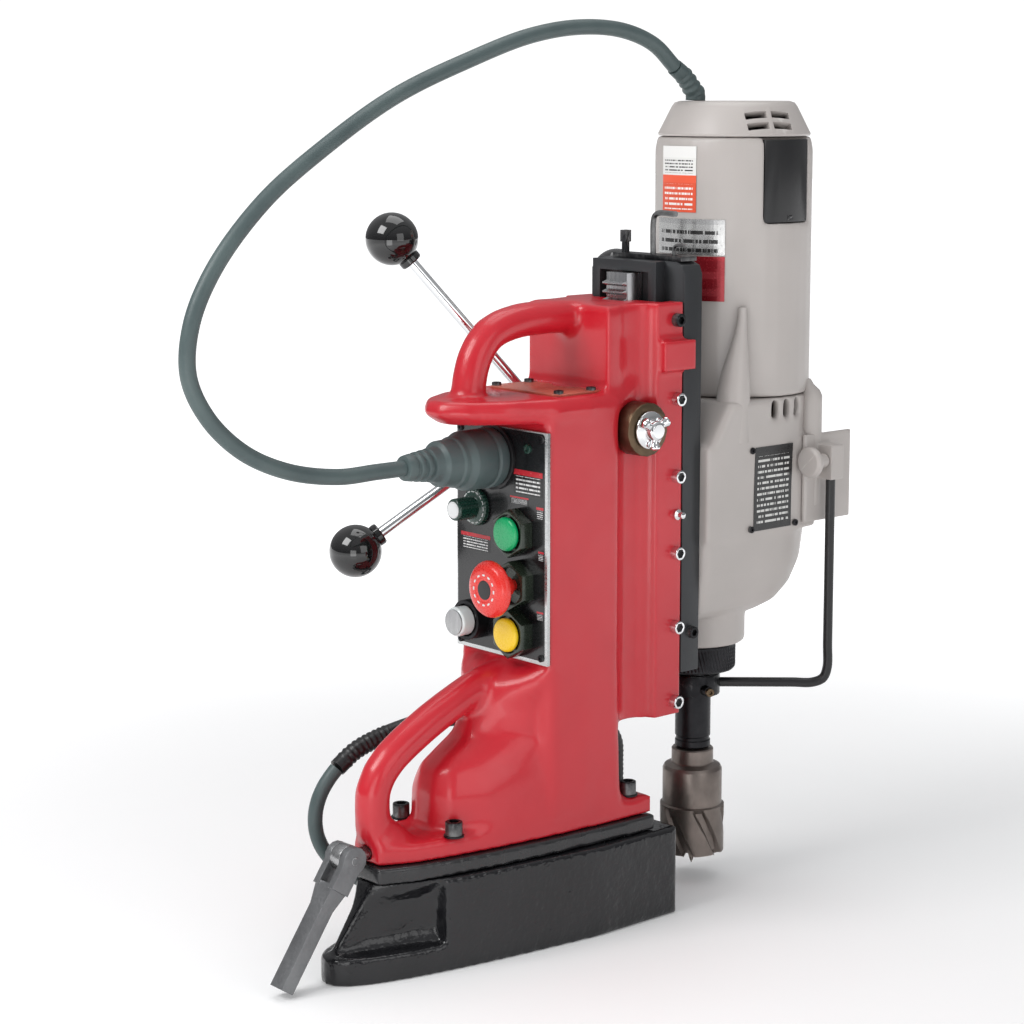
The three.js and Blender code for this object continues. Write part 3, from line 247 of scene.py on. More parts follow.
def grid(points: Array, closed_rows: bool = True, capped: bool = True) -> Form:
    """A skin over a grid of points.

    Face (i, j) joins points (i, j), (i, j+1), (i+1, j+1) and (i+1, j). A closed row joins its last
    point to its first. A cap is a fan about the mean of the first or the last row.

    Args:
        points: an array of rows x columns x 3.
        closed_rows: whether each row runs round.
        capped: whether the first and last rows are closed by fans.

    Returns:
        The form.
    """
    rows, columns = points.shape[:2]
    index = np.arange(rows * columns).reshape(rows, columns)
    ahead = np.roll(index, -1, axis=1) if closed_rows else index[:, 1:]
    here = index if closed_rows else index[:, :-1]
    quads = np.stack([here[:-1], ahead[:-1], ahead[1:], here[1:]], axis=-1).reshape(-1, 4)
    faces = quads.tolist()
    places = points.reshape(-1, 3)
    if capped:
        middles = np.array([points[0].mean(axis=0), points[-1].mean(axis=0)])
        first, last = len(places), len(places) + 1
        places = np.vstack([places, middles])
        faces += np.stack([ahead[0], here[0], np.full(len(here[0]), first)], axis=-1).tolist()
        faces += np.stack([here[-1], ahead[-1], np.full(len(here[0]), last)], axis=-1).tolist()
    return Form(places, faces)


def fillet(corners: Sequence[Sequence[float]], radius: float, steps: int = 4, closed: bool = False) -> Array:
    """A polyline with each corner rounded by an arc-like curve.

    A corner C between A and B becomes the quadratic curve (1-t)^2 P + 2t(1-t) C + t^2 Q, where P and
    Q lie on its two sides at the radius from C, or at 0.45 of a shorter side.

    Args:
        corners: the polyline's points in the plane.
        radius: how far from each corner the curve starts.
        steps: segments in each rounded corner.
        closed: whether the last point joins the first.

    Returns:
        The rounded polyline as an array of points.
    """
    c = np.array(corners, float)
    before, after = np.roll(c, 1, axis=0), np.roll(c, -1, axis=0)
    t = np.linspace(0, 1, steps + 1)[:, None]
    out = []
    for i, (a, p, b) in enumerate(zip(before, c, after)):
        if not closed and i in (0, len(c) - 1):
            out.append(p[None])
            continue
        to_a, to_b = a - p, b - p
        la, lb = np.linalg.norm(to_a), np.linalg.norm(to_b)
        start = p + to_a / la * min(radius, 0.45 * la)
        end = p + to_b / lb * min(radius, 0.45 * lb)
        out.append((1 - t) ** 2 * start + 2 * t * (1 - t) * p + t**2 * end)
    return np.vstack(out)


def onto(axis: Axis, across: Array, beside: Array, along: Array) -> Array:
    """Coordinates about an axis as points of the model's frame.

    Args:
        axis: the axis that `along` runs on.
        across: distances on the next axis in the order X, Y, Z, X.
        beside: distances on the one after that.
        along: distances on the axis.

    Returns:
        Points, with a last dimension of 3.
    """
    parts = {axis.value: along, (axis.value + 1) % 3: across, (axis.value + 2) % 3: beside}
    return np.stack(np.broadcast_arrays(*[parts[i] for i in range(3)]), axis=-1)


def turned(profile: Sequence[Sequence[float]], axis: Axis = Axis.Z, sides: int = 48, radius: float = 0.0,
           wave: Callable[[Array, Array], Array] | None = None) -> Form:
    """A form turned about an axis from its profile of (distance from the axis, place along it).

    Point (i, j) is at distance r_i from the axis and at angle 2 pi j / sides round it, plus
    wave(angle, place) where a wave is given.

    Args:
        profile: the outline, from one end to the other.
        axis: the axis of turning.
        sides: points round the axis.
        radius: the rounding of the outline's corners.
        wave: how far the surface stands out or in, by angle and place along the axis.

    Returns:
        The closed form.
    """
    line = fillet(profile, radius) if radius else np.array(profile, float)
    angle = np.linspace(0, TURN, sides, endpoint=False)[None, :]
    r, along = line[:, :1], line[:, 1:]
    if wave is not None:
        r = r + wave(angle, along)
    return grid(onto(axis, r * np.cos(angle), r * np.sin(angle), along * np.ones_like(angle)))


def slab(outline: Array, axis: Axis, low: float, high: float, edge: float = 0.0) -> Form:
    """A plate of one outline, with its edges broken.

    Rows run round the outline at the two faces, each drawn in by the edge's width, and at the two
    shoulders that lie the same width inside the faces.

    Args:
        outline: closed outline in the two axes after `axis`, anticlockwise.
        axis: the plate's normal.
        low: where it starts on the axis.
        high: where it ends.
        edge: the chamfer's width.

    Returns:
        The closed form.
    """
    tangent = np.roll(outline, -1, axis=0) - np.roll(outline, 1, axis=0)
    tangent = tangent / np.linalg.norm(tangent, axis=1, keepdims=True)
    inner = outline - edge * np.stack([tangent[:, 1], -tangent[:, 0]], axis=1)
    rows = [(inner, low), (outline, low + edge), (outline, high - edge), (inner, high)]
    return grid(np.array([onto(axis, ring[:, 0], ring[:, 1], np.full(len(ring), z)) for ring, z in rows]))


def smooth_path(points: Sequence[Sequence[float]], step: float = 0.003) -> Array:
    """A centripetal Catmull-Rom curve through points, evenly spaced.

    Between points B and C, with A before and D after, the curve blends the lines through them by
    the square roots of the distances, and it is then sampled again at equal steps of its length.

    Args:
        points: the places the curve passes through.
        step: the spacing of the samples.

    Returns:
        The curve's points.
    """
    p = np.array(points, float)
    p = np.vstack([2 * p[0] - p[1], p, 2 * p[-1] - p[-2]])
    knots = np.concatenate([[0], np.cumsum(np.sqrt(np.linalg.norm(np.diff(p, axis=0), axis=1)))])
    pieces = []
    for i in range(1, len(p) - 2):
        t = np.linspace(knots[i], knots[i + 1], 25)[:-1, None]

        def mix(a: Array, b: Array, ta: float, tb: float) -> Array:
            """The line from a at ta to b at tb."""
            return (tb - t) / (tb - ta) * a + (t - ta) / (tb - ta) * b

        k = knots[i - 1:i + 3]
        first, middle, last = (mix(p[i - 1 + j], p[i + j], k[j], k[j + 1]) for j in range(3))
        pieces.append(mix(mix(first, middle, k[0], k[2]), mix(middle, last, k[1], k[3]), k[1], k[2]))
    dense = np.vstack(pieces + [p[-2:-1]])
    run = np.concatenate([[0], np.cumsum(np.linalg.norm(np.diff(dense, axis=0), axis=1))])
    at = np.linspace(0, run[-1], max(4, int(run[-1] / step)))
    return np.stack([np.interp(at, run, dense[:, i]) for i in range(3)], axis=1)


def eased(path: Array, rounds: int) -> Array:
    """An even path with its small kinks relaxed.

    Each round moves every point but the two ends halfway to the middle of its neighbours.

    Args:
        path: the evenly spaced points.
        rounds: how many rounds it gets.

    Returns:
        The relaxed path.
    """
    path = path.copy()
    for _ in range(rounds):
        path[1:-1] += 0.5 * ((path[:-2] + path[2:]) / 2 - path[1:-1])
    return path


def length_of(path: Array) -> float:
    """The length of a path through its points."""
    return float(np.linalg.norm(np.diff(path, axis=0), axis=1).sum())


def tube(path: Array, radius: Array | float, sides: int = 20) -> Form:
    """A round tube along a path.

    Each ring is centred on a path point, in the plane across the path. Its first direction is the
    last ring's, less its share along the path, so that the tube doesn't twist.

    Args:
        path: the centreline's points.
        radius: one radius, or one for each point.
        sides: points in each ring.

    Returns:
        The closed form.
    """
    tangent = np.gradient(path, axis=0)
    tangent /= np.linalg.norm(tangent, axis=1, keepdims=True)
    side = np.zeros_like(path)
    last = np.array([1.0, 0.0, 0.0]) if abs(tangent[0, 0]) < 0.8 else np.array([0.0, 0.0, 1.0])
    for i, t in enumerate(tangent):
        last = last - t * (last @ t)
        last = last / np.linalg.norm(last)
        side[i] = last
    other = np.cross(tangent, side)
    angle = np.linspace(0, TURN, sides, endpoint=False)[None, :, None]
    r = np.broadcast_to(np.asarray(radius, float), (len(path),))[:, None, None]
    return grid(path[:, None] + r * (np.cos(angle) * side[:, None] + np.sin(angle) * other[:, None]))


def ramp(t: Array) -> Array:
    """The smooth step 3t^2 - 2t^3, held at 0 and 1 outside its range."""
    t = np.clip(t, 0, 1)
    return t * t * (3 - 2 * t)


def cap_screw(radius: float, height: float, socket: float, axis: Axis = Axis.Z, sign: float = 1.0) -> Form:
    """A cylindrical screw head with a hexagonal socket, standing on the origin.

    The outer rows are circles. The socket's rows follow a hexagon, whose radius at an angle a is
    socket / cos(a mod 60 degrees - 30 degrees).

    Args:
        radius: the head's radius.
        height: the head's height.
        socket: half the socket's width across flats.
        axis: the screw's axis.
        sign: which way along the axis the head stands.

    Returns:
        The closed form.
    """
    angle = np.linspace(0, TURN, 36, endpoint=False)
    hexagon = socket / np.cos(np.mod(angle, TURN / 6) - TURN / 12)
    soft = 0.12 * radius
    rows = [(radius, -0.2 * height), (radius, height - soft), (radius - 0.3 * soft, height - 0.3 * soft),
            (radius - soft, height), (hexagon + 0.1 * socket, height), (hexagon, height - 0.3 * soft),
            (hexagon, 0.45 * height), (hexagon * 0.2, 0.4 * height)]
    return grid(np.array([onto(axis, r * np.cos(angle), r * np.sin(angle), np.full(36, sign * z))
                          for r, z in rows]))


# ---------------------------------------------------------------- finishes


class Weave:
    """A material's node tree under construction, with one method for each kind of node."""

    def __init__(self, name: str) -> None:
        """Starts a material with one Principled shader."""
        self.material = bpy.data.materials.new(name)
        self.material.use_nodes = True
        self.tree = self.material.node_tree
        self.shader = self.tree.nodes["Principled BSDF"]
        self.place = self.tree.nodes.new("ShaderNodeTexCoord").outputs["Object"]

    def node(self, kind: str, values: dict | None = None, links: dict | None = None, **settings) -> bpy.types.Node:
        """Adds a node.

        Args:
            kind: the node's type name.
            values: constants for its inputs, by name or number.
            links: sockets that feed its inputs, by name or number.
            settings: the node's own properties.

        Returns:
            The node.
        """
        node = self.tree.nodes.new(kind)
        for key, value in settings.items():
            setattr(node, key, value)
        for key, value in (values or {}).items():
            node.inputs[key].default_value = value
        for key, socket in (links or {}).items():
            self.tree.links.new(socket, node.inputs[key])
        return node

    def scaled(self, scale: Sequence[float]) -> bpy.types.NodeSocket:
        """Object coordinates multiplied by a scale along each axis."""
        return self.node("ShaderNodeMapping", {"Scale": tuple(scale)}, {"Vector": self.place}).outputs[0]

    def noise(self, scale: float, detail: float = 3.0, rough: float = 0.5,
              at: bpy.types.NodeSocket | None = None) -> bpy.types.NodeSocket:
        """Cloudy noise from 0 to 1, with `scale` features to the metre."""
        values = {"Scale": scale, "Detail": detail, "Roughness": rough}
        return self.node("ShaderNodeTexNoise", values, {"Vector": at or self.place}).outputs["Fac"]

    def between(self, value: bpy.types.NodeSocket, low: float, high: float, to_low: float,
                to_high: float) -> bpy.types.NodeSocket:
        """A value carried from one range to another and held at its ends."""
        values = {"From Min": low, "From Max": high, "To Min": to_low, "To Max": to_high}
        return self.node("ShaderNodeMapRange", values, {"Value": value}).outputs["Result"]

    def math(self, kind: str, a: bpy.types.NodeSocket | float,
             b: bpy.types.NodeSocket | float = 0.0) -> bpy.types.NodeSocket:
        """The result of one Math node on two sockets or numbers."""
        node = self.node("ShaderNodeMath", operation=kind)
        for i, value in enumerate((a, b)):
            if isinstance(value, (int, float)):
                node.inputs[i].default_value = value
            else:
                self.tree.links.new(value, node.inputs[i])
        return node.outputs[0]

    def blend(self, share: bpy.types.NodeSocket, a: Sequence[float] | bpy.types.NodeSocket,
              b: Sequence[float] | bpy.types.NodeSocket) -> bpy.types.NodeSocket:
        """Colour a where the share is 0 and colour b where it is 1."""
        node = self.node("ShaderNodeMix", links={0: share}, data_type="RGBA")
        for i, colour in ((6, a), (7, b)):
            if isinstance(colour, bpy.types.NodeSocket):
                self.tree.links.new(colour, node.inputs[i])
            else:
                node.inputs[i].default_value = (*colour[:3], 1.0)
        return node.outputs[2]

    def bump(self, height: bpy.types.NodeSocket, distance: float, strength: float = 1.0,
             under: bpy.types.NodeSocket | None = None) -> bpy.types.NodeSocket:
        """A bumped normal, on top of another where one is given."""
        links = {"Height": height} | ({"Normal": under} if under else {})
        return self.node("ShaderNodeBump", {"Distance": distance, "Strength": strength}, links).outputs[0]

    def finish(self, colour: bpy.types.NodeSocket, roughness: bpy.types.NodeSocket,
               normal: bpy.types.NodeSocket | None, **constants: float) -> bpy.types.Material:
        """Joins the tree to the shader.

        Args:
            colour: the base colour.
            roughness: the roughness.
            normal: the bumped normal, or None.
            constants: the shader's own inputs that are the same all over, with _ for a space.

        Returns:
            The material.
        """
        self.tree.links.new(colour, self.shader.inputs["Base Color"])
        self.tree.links.new(roughness, self.shader.inputs["Roughness"])
        if normal is not None:
            self.tree.links.new(normal, self.shader.inputs["Normal"])
        for key, value in constants.items():
            self.shader.inputs[key.replace("_", " ")].default_value = value
        return self.material


@dataclass(frozen=True)
class Finish:
    """A surface finish: its colour, how it varies, its sheen and its texture."""

    slot: str
    colour: tuple[float, float, float]
    shade: tuple[float, float, float]
    roughness: float = 0.4
    metallic: float = 0.0
    coat: float = 0.0
    cloud: float = 18.0
    grain: float = 900.0
    depth: float = 0.00004
    stretch: tuple[float, float, float] = (1.0, 1.0, 1.0)
    uneven: float = 0.08
    wear: tuple[float, float, float] | None = None
    specular: float = 0.5

    def material(self, name: str) -> bpy.types.Material:
        """The finish as a material.

        Cloudy noise mixes the colour with its shade, a finer noise along the grain moves the
        roughness, and a bump of the same grain gives the texture. Wear shows on convex edges.

        Args:
            name: the material's name.

        Returns:
            The material.
        """
        weave = Weave(name)
        cloud = weave.between(weave.noise(self.cloud, 4.0), 0.35, 0.7, 0.0, 1.0)
        colour = weave.blend(cloud, self.colour, self.shade)
        grain = weave.noise(self.grain, 2.0, at=weave.scaled(self.stretch))
        roughness = weave.between(grain, 0.3, 0.7, self.roughness - self.uneven, self.roughness + self.uneven)
        if self.wear:
            pointed = weave.node("ShaderNodeNewGeometry").outputs["Pointiness"]
            ragged = weave.math("ADD", pointed, weave.math("MULTIPLY", weave.noise(160.0, 4.0, 0.7), 0.05))
            colour = weave.blend(weave.between(ragged, 0.585, 0.62, 0.0, 1.0), colour, self.wear)
        normal = weave.bump(grain, self.depth)
        return weave.finish(colour, roughness, normal, Metallic=self.metallic, Coat_Weight=self.coat,
                            Coat_Roughness=0.06, Specular_IOR_Level=self.specular)


@dataclass(frozen=True)
class SprayedCasting(Finish):
    """Thick glossy enamel over a sand casting: soft swells of the metal under a fine orange peel."""

    swell: float = 55.0
    swell_depth: float = 0.0011

    def material(self, name: str) -> bpy.types.Material:
        """The finish as a material, with a bump of soft swells under the orange peel."""
        weave = Weave(name)
        swell = weave.noise(self.swell, 2.0, 0.45)
        cloud = weave.between(weave.noise(self.cloud, 3.0), 0.3, 0.75, 0.0, 1.0)
        colour = weave.blend(cloud, self.colour, self.shade)
        peel = weave.noise(self.grain, 1.5)
        roughness = weave.between(swell, 0.3, 0.7, self.roughness - self.uneven, self.roughness + self.uneven)
        if self.wear:
            pointed = weave.node("ShaderNodeNewGeometry").outputs["Pointiness"]
            colour = weave.blend(weave.between(pointed, 0.58, 0.66, 0.0, 0.5), colour, self.wear)
        normal = weave.bump(peel, self.depth, 0.6, weave.bump(swell, self.swell_depth, 0.5))
        return weave.finish(colour, roughness, normal, Coat_Weight=self.coat, Coat_Roughness=0.08,
                            Specular_IOR_Level=self.specular)


@dataclass(frozen=True)
class PrintedPlate(Finish):
    """A plate with rows of illegible print on it, as short dashes, under a plain heading band."""

    ink: tuple[float, float, float] = (0.85, 0.85, 0.85)
    band: tuple[float, float, float] = (0.6, 0.03, 0.04)
    band_from: float = 0.75
    rows: float = 8.0
    words: float = 9.0

    def material(self, name: str) -> bpy.types.Material:
        """The finish as a material.

        Rows are where the fraction of v x rows lies in the middle of its range, broken where a noise
        stretched along u falls low, and both stop short of the plate's edges.
        """
        weave = Weave(name)
        uv = weave.tree.nodes.new("ShaderNodeUVMap").outputs[0]
        parts = weave.node("ShaderNodeSeparateXYZ", links={0: uv}).outputs
        u, v = parts[0], parts[1]
        lined = weave.math("FRACT", weave.math("MULTIPLY", v, self.rows))
        row = weave.math("MULTIPLY", weave.math("GREATER_THAN", lined, 0.3), weave.math("LESS_THAN", lined, 0.72))
        number = weave.math("FLOOR", weave.math("MULTIPLY", v, self.rows))
        cell = weave.node("ShaderNodeCombineXYZ", links={0: weave.math("MULTIPLY", u, self.words * 3), 1: number})
        broken = weave.math("GREATER_THAN", weave.noise(1.7, 1.0, at=cell.outputs[0]), 0.44)
        inside = weave.math("MULTIPLY", weave.math("GREATER_THAN", u, 0.08), weave.math("LESS_THAN", u, 0.92))
        below = weave.math("MULTIPLY", weave.math("LESS_THAN", v, self.band_from - 0.04),
                           weave.math("GREATER_THAN", v, 0.07))
        print_mask = weave.math("MULTIPLY", weave.math("MULTIPLY", row, broken), weave.math("MULTIPLY", inside, below))
        base = weave.blend(weave.noise(60.0), self.colour, self.shade)
        banded = weave.blend(weave.math("GREATER_THAN", v, self.band_from), base, self.band)
        colour = weave.blend(print_mask, banded, self.ink)
        roughness = weave.between(weave.noise(400.0), 0.3, 0.7, self.roughness - 0.05, self.roughness + 0.05)
        return weave.finish(colour, roughness, weave.bump(print_mask, 0.00002), Metallic=self.metallic,
                            Specular_IOR_Level=self.specular)


RED_ENAMEL = SprayedCasting("red_paint", (0.56, 0.012, 0.024), (0.47, 0.008, 0.018), 0.33, coat=0.25, grain=700.0,
                            depth=0.00008, cloud=9.0, uneven=0.05, swell_depth=0.0007, wear=(0.75, 0.09, 0.1))
BLACK_CASTING = SprayedCasting("black_cast", (0.006, 0.006, 0.007), (0.012, 0.012, 0.014), 0.17, coat=0.35,
                               specular=0.35,
                               grain=240.0, depth=0.0012, uneven=0.06, swell=75.0, swell_depth=0.0030)
BLACK_PLATE = SprayedCasting("black_steel", (0.010, 0.010, 0.011), (0.018, 0.018, 0.02), 0.3, coat=0.3,
                             grain=420.0, depth=0.0003, uneven=0.08, swell=90.0, swell_depth=0.0008)
GREY_ENAMEL = SprayedCasting("grey_cast", (0.47, 0.435, 0.415), (0.41, 0.38, 0.36), 0.42, coat=0.1, grain=1100.0,
                             depth=0.00008, cloud=12.0, uneven=0.05, swell=40.0, swell_depth=0.0005,
                             wear=(0.62, 0.6, 0.57))
BLACK_STEEL = Finish("black_steel", (0.018, 0.018, 0.02), (0.035, 0.035, 0.038), 0.36, 0.85, cloud=45.0, grain=500.0,
                     depth=0.00005, wear=(0.25, 0.25, 0.25))
MACHINED = Finish("grey_steel", (0.42, 0.42, 0.42), (0.31, 0.31, 0.32), 0.3, 0.95, grain=450.0, depth=0.00005,
                  stretch=(1.0, 1.0, 0.06), cloud=30.0)
SLIDE_BLACK = Finish("grey_steel", (0.032, 0.034, 0.037), (0.04, 0.042, 0.045), 0.4, 0.3, cloud=12.0, grain=800.0,
                     depth=0.00003)
CAST_GREY = Finish("grey_steel", (0.23, 0.235, 0.24), (0.17, 0.172, 0.178), 0.42, 0.75, cloud=40.0, grain=420.0,
                   depth=0.00025, wear=(0.45, 0.45, 0.45))
CHROME = Finish("chrome", (0.78, 0.79, 0.8), (0.7, 0.71, 0.72), 0.09, 1.0, cloud=25.0, grain=260.0, depth=0.000008,
                uneven=0.03)
BRONZE = Finish("bronze", (0.15, 0.105, 0.065), (0.09, 0.062, 0.04), 0.36, 0.9, cloud=60.0, grain=600.0)
CUTTER_COAT = Finish("cutter_steel", (0.235, 0.2, 0.18), (0.17, 0.145, 0.13), 0.36, 0.85, cloud=55.0, grain=700.0,
                     depth=0.00006, stretch=(1.0, 1.0, 0.3), wear=(0.5, 0.46, 0.42))
COPPER = Finish("copper", (0.5, 0.22, 0.1), (0.36, 0.15, 0.07), 0.35, 0.9, grain=800.0, stretch=(1.0, 1.0, 6.0),
                depth=0.0002)
BLACK_GLOSS = Finish("black_plastic", (0.004, 0.004, 0.0045), (0.008, 0.008, 0.008), 0.07, coat=0.5, grain=300.0,
                     depth=0.000006, uneven=0.03)
BLACK_PLASTIC = Finish("black_plastic", (0.008, 0.008, 0.009), (0.014, 0.014, 0.015), 0.36, grain=1500.0)
GREY_RUBBER = Finish("grey_rubber", (0.075, 0.105, 0.105), (0.055, 0.08, 0.082), 0.46, grain=1800.0, depth=0.00003,
                     cloud=30.0, uneven=0.06)
OLIVE_NUT = Finish("black_steel", (0.028, 0.04, 0.026), (0.018, 0.026, 0.018), 0.24, 0.4, coat=0.4, cloud=70.0,
                   grain=500.0)
BOARD = Finish("board_green", (0.02, 0.12, 0.05), (0.03, 0.16, 0.07), 0.5, grain=600.0)
TERRACOTTA = Finish("cover_tan", (0.5, 0.13, 0.085), (0.42, 0.1, 0.065), 0.36, coat=0.15, cloud=40.0, grain=600.0)
GREEN_CAP = Finish("green", (0.0, 0.36, 0.12), (0.0, 0.29, 0.095), 0.3, coat=0.2, grain=900.0, depth=0.00002)
RED_CAP = Finish("stop_red", (0.75, 0.028, 0.02), (0.66, 0.02, 0.015), 0.28, coat=0.3, grain=900.0, depth=0.00002)
YELLOW_CAP = Finish("yellow", (0.86, 0.57, 0.008), (0.78, 0.49, 0.006), 0.3, coat=0.2, grain=900.0, depth=0.00002)
WHITE_CAP = Finish("clear_white", (0.72, 0.76, 0.76), (0.62, 0.67, 0.67), 0.16, coat=0.5, grain=700.0, depth=0.00002)
SILVER_EDGE = Finish("panel_black", (0.55, 0.56, 0.56), (0.45, 0.46, 0.46), 0.28, 0.9, grain=700.0,
                     stretch=(0.1, 1.0, 1.0))
PANEL_FILM = Finish("panel_black", (0.005, 0.005, 0.006), (0.01, 0.01, 0.011), 0.22, coat=0.2, grain=2200.0,
                    depth=0.00002)
WHITE_INK = Finish("clear_white", (0.75, 0.76, 0.76), (0.66, 0.67, 0.67), 0.4, grain=900.0)
DIAL_GREEN = Finish("black_plastic", (0.01, 0.05, 0.035), (0.006, 0.03, 0.02), 0.25, coat=0.4, grain=900.0)
SAFETY_LABEL = PrintedPlate("grey_cast", (0.78, 0.78, 0.76), (0.72, 0.72, 0.7), 0.35, ink=(0.04, 0.04, 0.04),
                            band=(0.8, 0.8, 0.78), band_from=0.6, rows=9.0, words=6.0)
SAFETY_BLOCK = PrintedPlate("stop_red", (0.74, 0.09, 0.035), (0.7, 0.08, 0.03), 0.35, ink=(0.9, 0.85, 0.82),
                            band=(0.8, 0.1, 0.04), band_from=0.8, rows=7.0, words=6.0)
NAME_PLATE = PrintedPlate("chrome", (0.55, 0.55, 0.54), (0.42, 0.42, 0.42), 0.25, 0.8, ink=(0.05, 0.05, 0.05),
                          band=(0.4, 0.4, 0.4), band_from=0.86, rows=4.0, words=9.0)
MAROON_PLATE = PrintedPlate("red_paint", (0.28, 0.012, 0.02), (0.22, 0.01, 0.016), 0.25, 0.4, ink=(0.34, 0.03, 0.04),
                            band=(0.3, 0.014, 0.022), band_from=0.9, rows=2.6, words=3.0)
DATA_PLATE = PrintedPlate("black_plastic", (0.012, 0.012, 0.013), (0.02, 0.02, 0.02), 0.3, ink=(0.62, 0.62, 0.6),
                          band=(0.012, 0.012, 0.013), band_from=0.93, rows=15.0, words=5.0)
PANEL_PRINT = PrintedPlate("panel_black", (0.006, 0.006, 0.007), (0.01, 0.01, 0.01), 0.24, ink=(0.7, 0.7, 0.7),
                           band=(0.45, 0.02, 0.03), band_from=0.78, rows=6.0, words=8.0)


# ---------------------------------------------------------------- pieces


class Workshop:
    """Makes the pieces: it holds the frame and the materials, and hands each mesh to its body."""

    def __init__(self, frame: dict) -> None:
        """Starts with the loaded frame and no material."""
        self.nodes = frame["nodes"]
        self.materials: dict[str, bpy.types.Material] = {}

    def material(self, finish: Finish) -> bpy.types.Material:
        """The material of a finish, made once.

        Args:
            finish: the finish.

        Returns:
            Its material.
        """
        name = next(key for key, value in globals().items() if value is finish).lower()
        if name not in self.materials:
            self.materials[name] = finish.material(name)
        return self.materials[name]

    def place(self, piece: bpy.types.Object, finish: Finish, body: str | None,
              replaces: Sequence[str] = ()) -> bpy.types.Object:
        """Dresses a piece and hands it to its body.

        Args:
            piece: the piece's object.
            finish: its finish.
            body: the CAD body it rides on, or None where it is blended later.
            replaces: the CAD nodes that it stands for.

        Returns:
            The piece.
        """
        piece.data.materials.clear()
        piece.data.materials.append(self.material(finish))
        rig.slot(piece, finish.slot)
        if body:
            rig.ride(piece, body)
        if replaces:
            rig.replaces(piece, *replaces)
        log.info("%s: %d faces", piece.name, len(piece.data.polygons))
        return piece

    def make(self, name: str, form: Form, finish: Finish, body: str | None, replaces: Sequence[str] = (),
             sharp: float = 35.0) -> bpy.types.Object:
        """A piece from a form, its faces turned outwards.

        Args:
            name: the piece's name.
            form: its points and faces.
            finish: its finish.
            body: the body it rides on.
            replaces: the CAD nodes that it stands for.
            sharp: the angle in degrees past which an edge stays sharp.

        Returns:
            The piece.
        """
        mesh = bpy.data.meshes.new(name)
        mesh.from_pydata(form.points.tolist(), [], form.faces)
        turn_outwards(mesh)
        mesh.shade_smooth()
        mesh.set_sharp_from_angle(angle=math.radians(sharp))
        return self.place(new_object(name, mesh), finish, body, replaces)

    def merged(self, node: str, name: str) -> bpy.types.Mesh:
        """A copy of a CAD node's mesh with its loose triangles joined at their corners."""
        mesh = self.nodes[node].data.copy()
        mesh.name = name
        work = bmesh.new()
        work.from_mesh(mesh)
        bmesh.ops.remove_doubles(work, verts=work.verts, dist=0.000002)
        work.to_mesh(mesh)
        work.free()
        return mesh

    def broken_edges(self, node: str, name: str, finish: Finish, body: str, width: float = 0.0006,
                     segments: int = 2) -> bpy.types.Object:
        """A machined piece: a copy of its CAD node with its sharp edges broken.

        Flat faces are first dissolved into polygons, so that the edges left are the real ones.

        Args:
            node: the CAD node.
            name: the piece's name.
            finish: its finish.
            body: the body it rides on.
            width: the width of the broken edge.
            segments: the steps across it.

        Returns:
            The piece.
        """
        mesh = self.merged(node, name)
        work = bmesh.new()
        work.from_mesh(mesh)
        bmesh.ops.dissolve_limit(work, angle_limit=math.radians(0.6), verts=work.verts, edges=work.edges)
        work.to_mesh(mesh)
        work.free()
        piece = new_object(name, mesh)
        bevel = piece.modifiers.new("edges", "BEVEL")
        bevel.width, bevel.segments, bevel.limit_method = width, segments, "ANGLE"
        bevel.angle_limit = math.radians(32)
        bevel.use_clamp_overlap = True
        applied(piece)
        piece.data.shade_smooth()
        piece.data.set_sharp_from_angle(angle=math.radians(34))
        return self.place(piece, finish, body, [node])

    def softened(self, node: str, name: str, finish: Finish, body: str, voxel: float, rounds: int,
                 share: Callable[[Array], Array] | None = None, replaces: bool = True) -> bpy.types.Object:
        """A casting: a copy of its CAD node remeshed evenly and relaxed, so that corners become fillets.

        Each round moves every point part of the way to the mean of its neighbours: p becomes
        p + s (mean - p), with s half the share that the casting has there.

        Args:
            node: the CAD node.
            name: the piece's name.
            finish: its finish.
            body: the body it rides on.
            voxel: the size of the remesh's cells.
            rounds: how many rounds of relaxing it gets.
            share: the share of relaxing at each point, from 0 to 1, by its place.
            replaces: whether the piece stands for the node.

        Returns:
            The piece.
        """
        piece = new_object(name, self.merged(node, name))
        remesh = piece.modifiers.new("even", "REMESH")
        remesh.mode, remesh.voxel_size, remesh.adaptivity = "VOXEL", voxel, 0.0
        applied(piece)
        mesh = piece.data
        places = np.empty(3 * len(mesh.vertices), np.float64)
        mesh.vertices.foreach_get("co", places)
        places = places.reshape(-1, 3)
        edges = np.empty(2 * len(mesh.edges), np.int64)
        mesh.edges.foreach_get("vertices", edges)
        a, b = edges.reshape(-1, 2).T
        count = np.bincount(a, minlength=len(places)) + np.bincount(b, minlength=len(places))
        step = 0.5 * (share(places) if share else np.ones(len(places)))[:, None]
        for _ in range(rounds):
            total = np.stack([np.bincount(a, places[b, i], len(places)) + np.bincount(b, places[a, i], len(places))
                              for i in range(3)], axis=1)
            places = places + step * (total / count[:, None] - places)
        mesh.vertices.foreach_set("co", places.ravel())
        mesh.update()
        mesh.shade_smooth()
        return self.place(piece, finish, body, [node] if replaces else [])

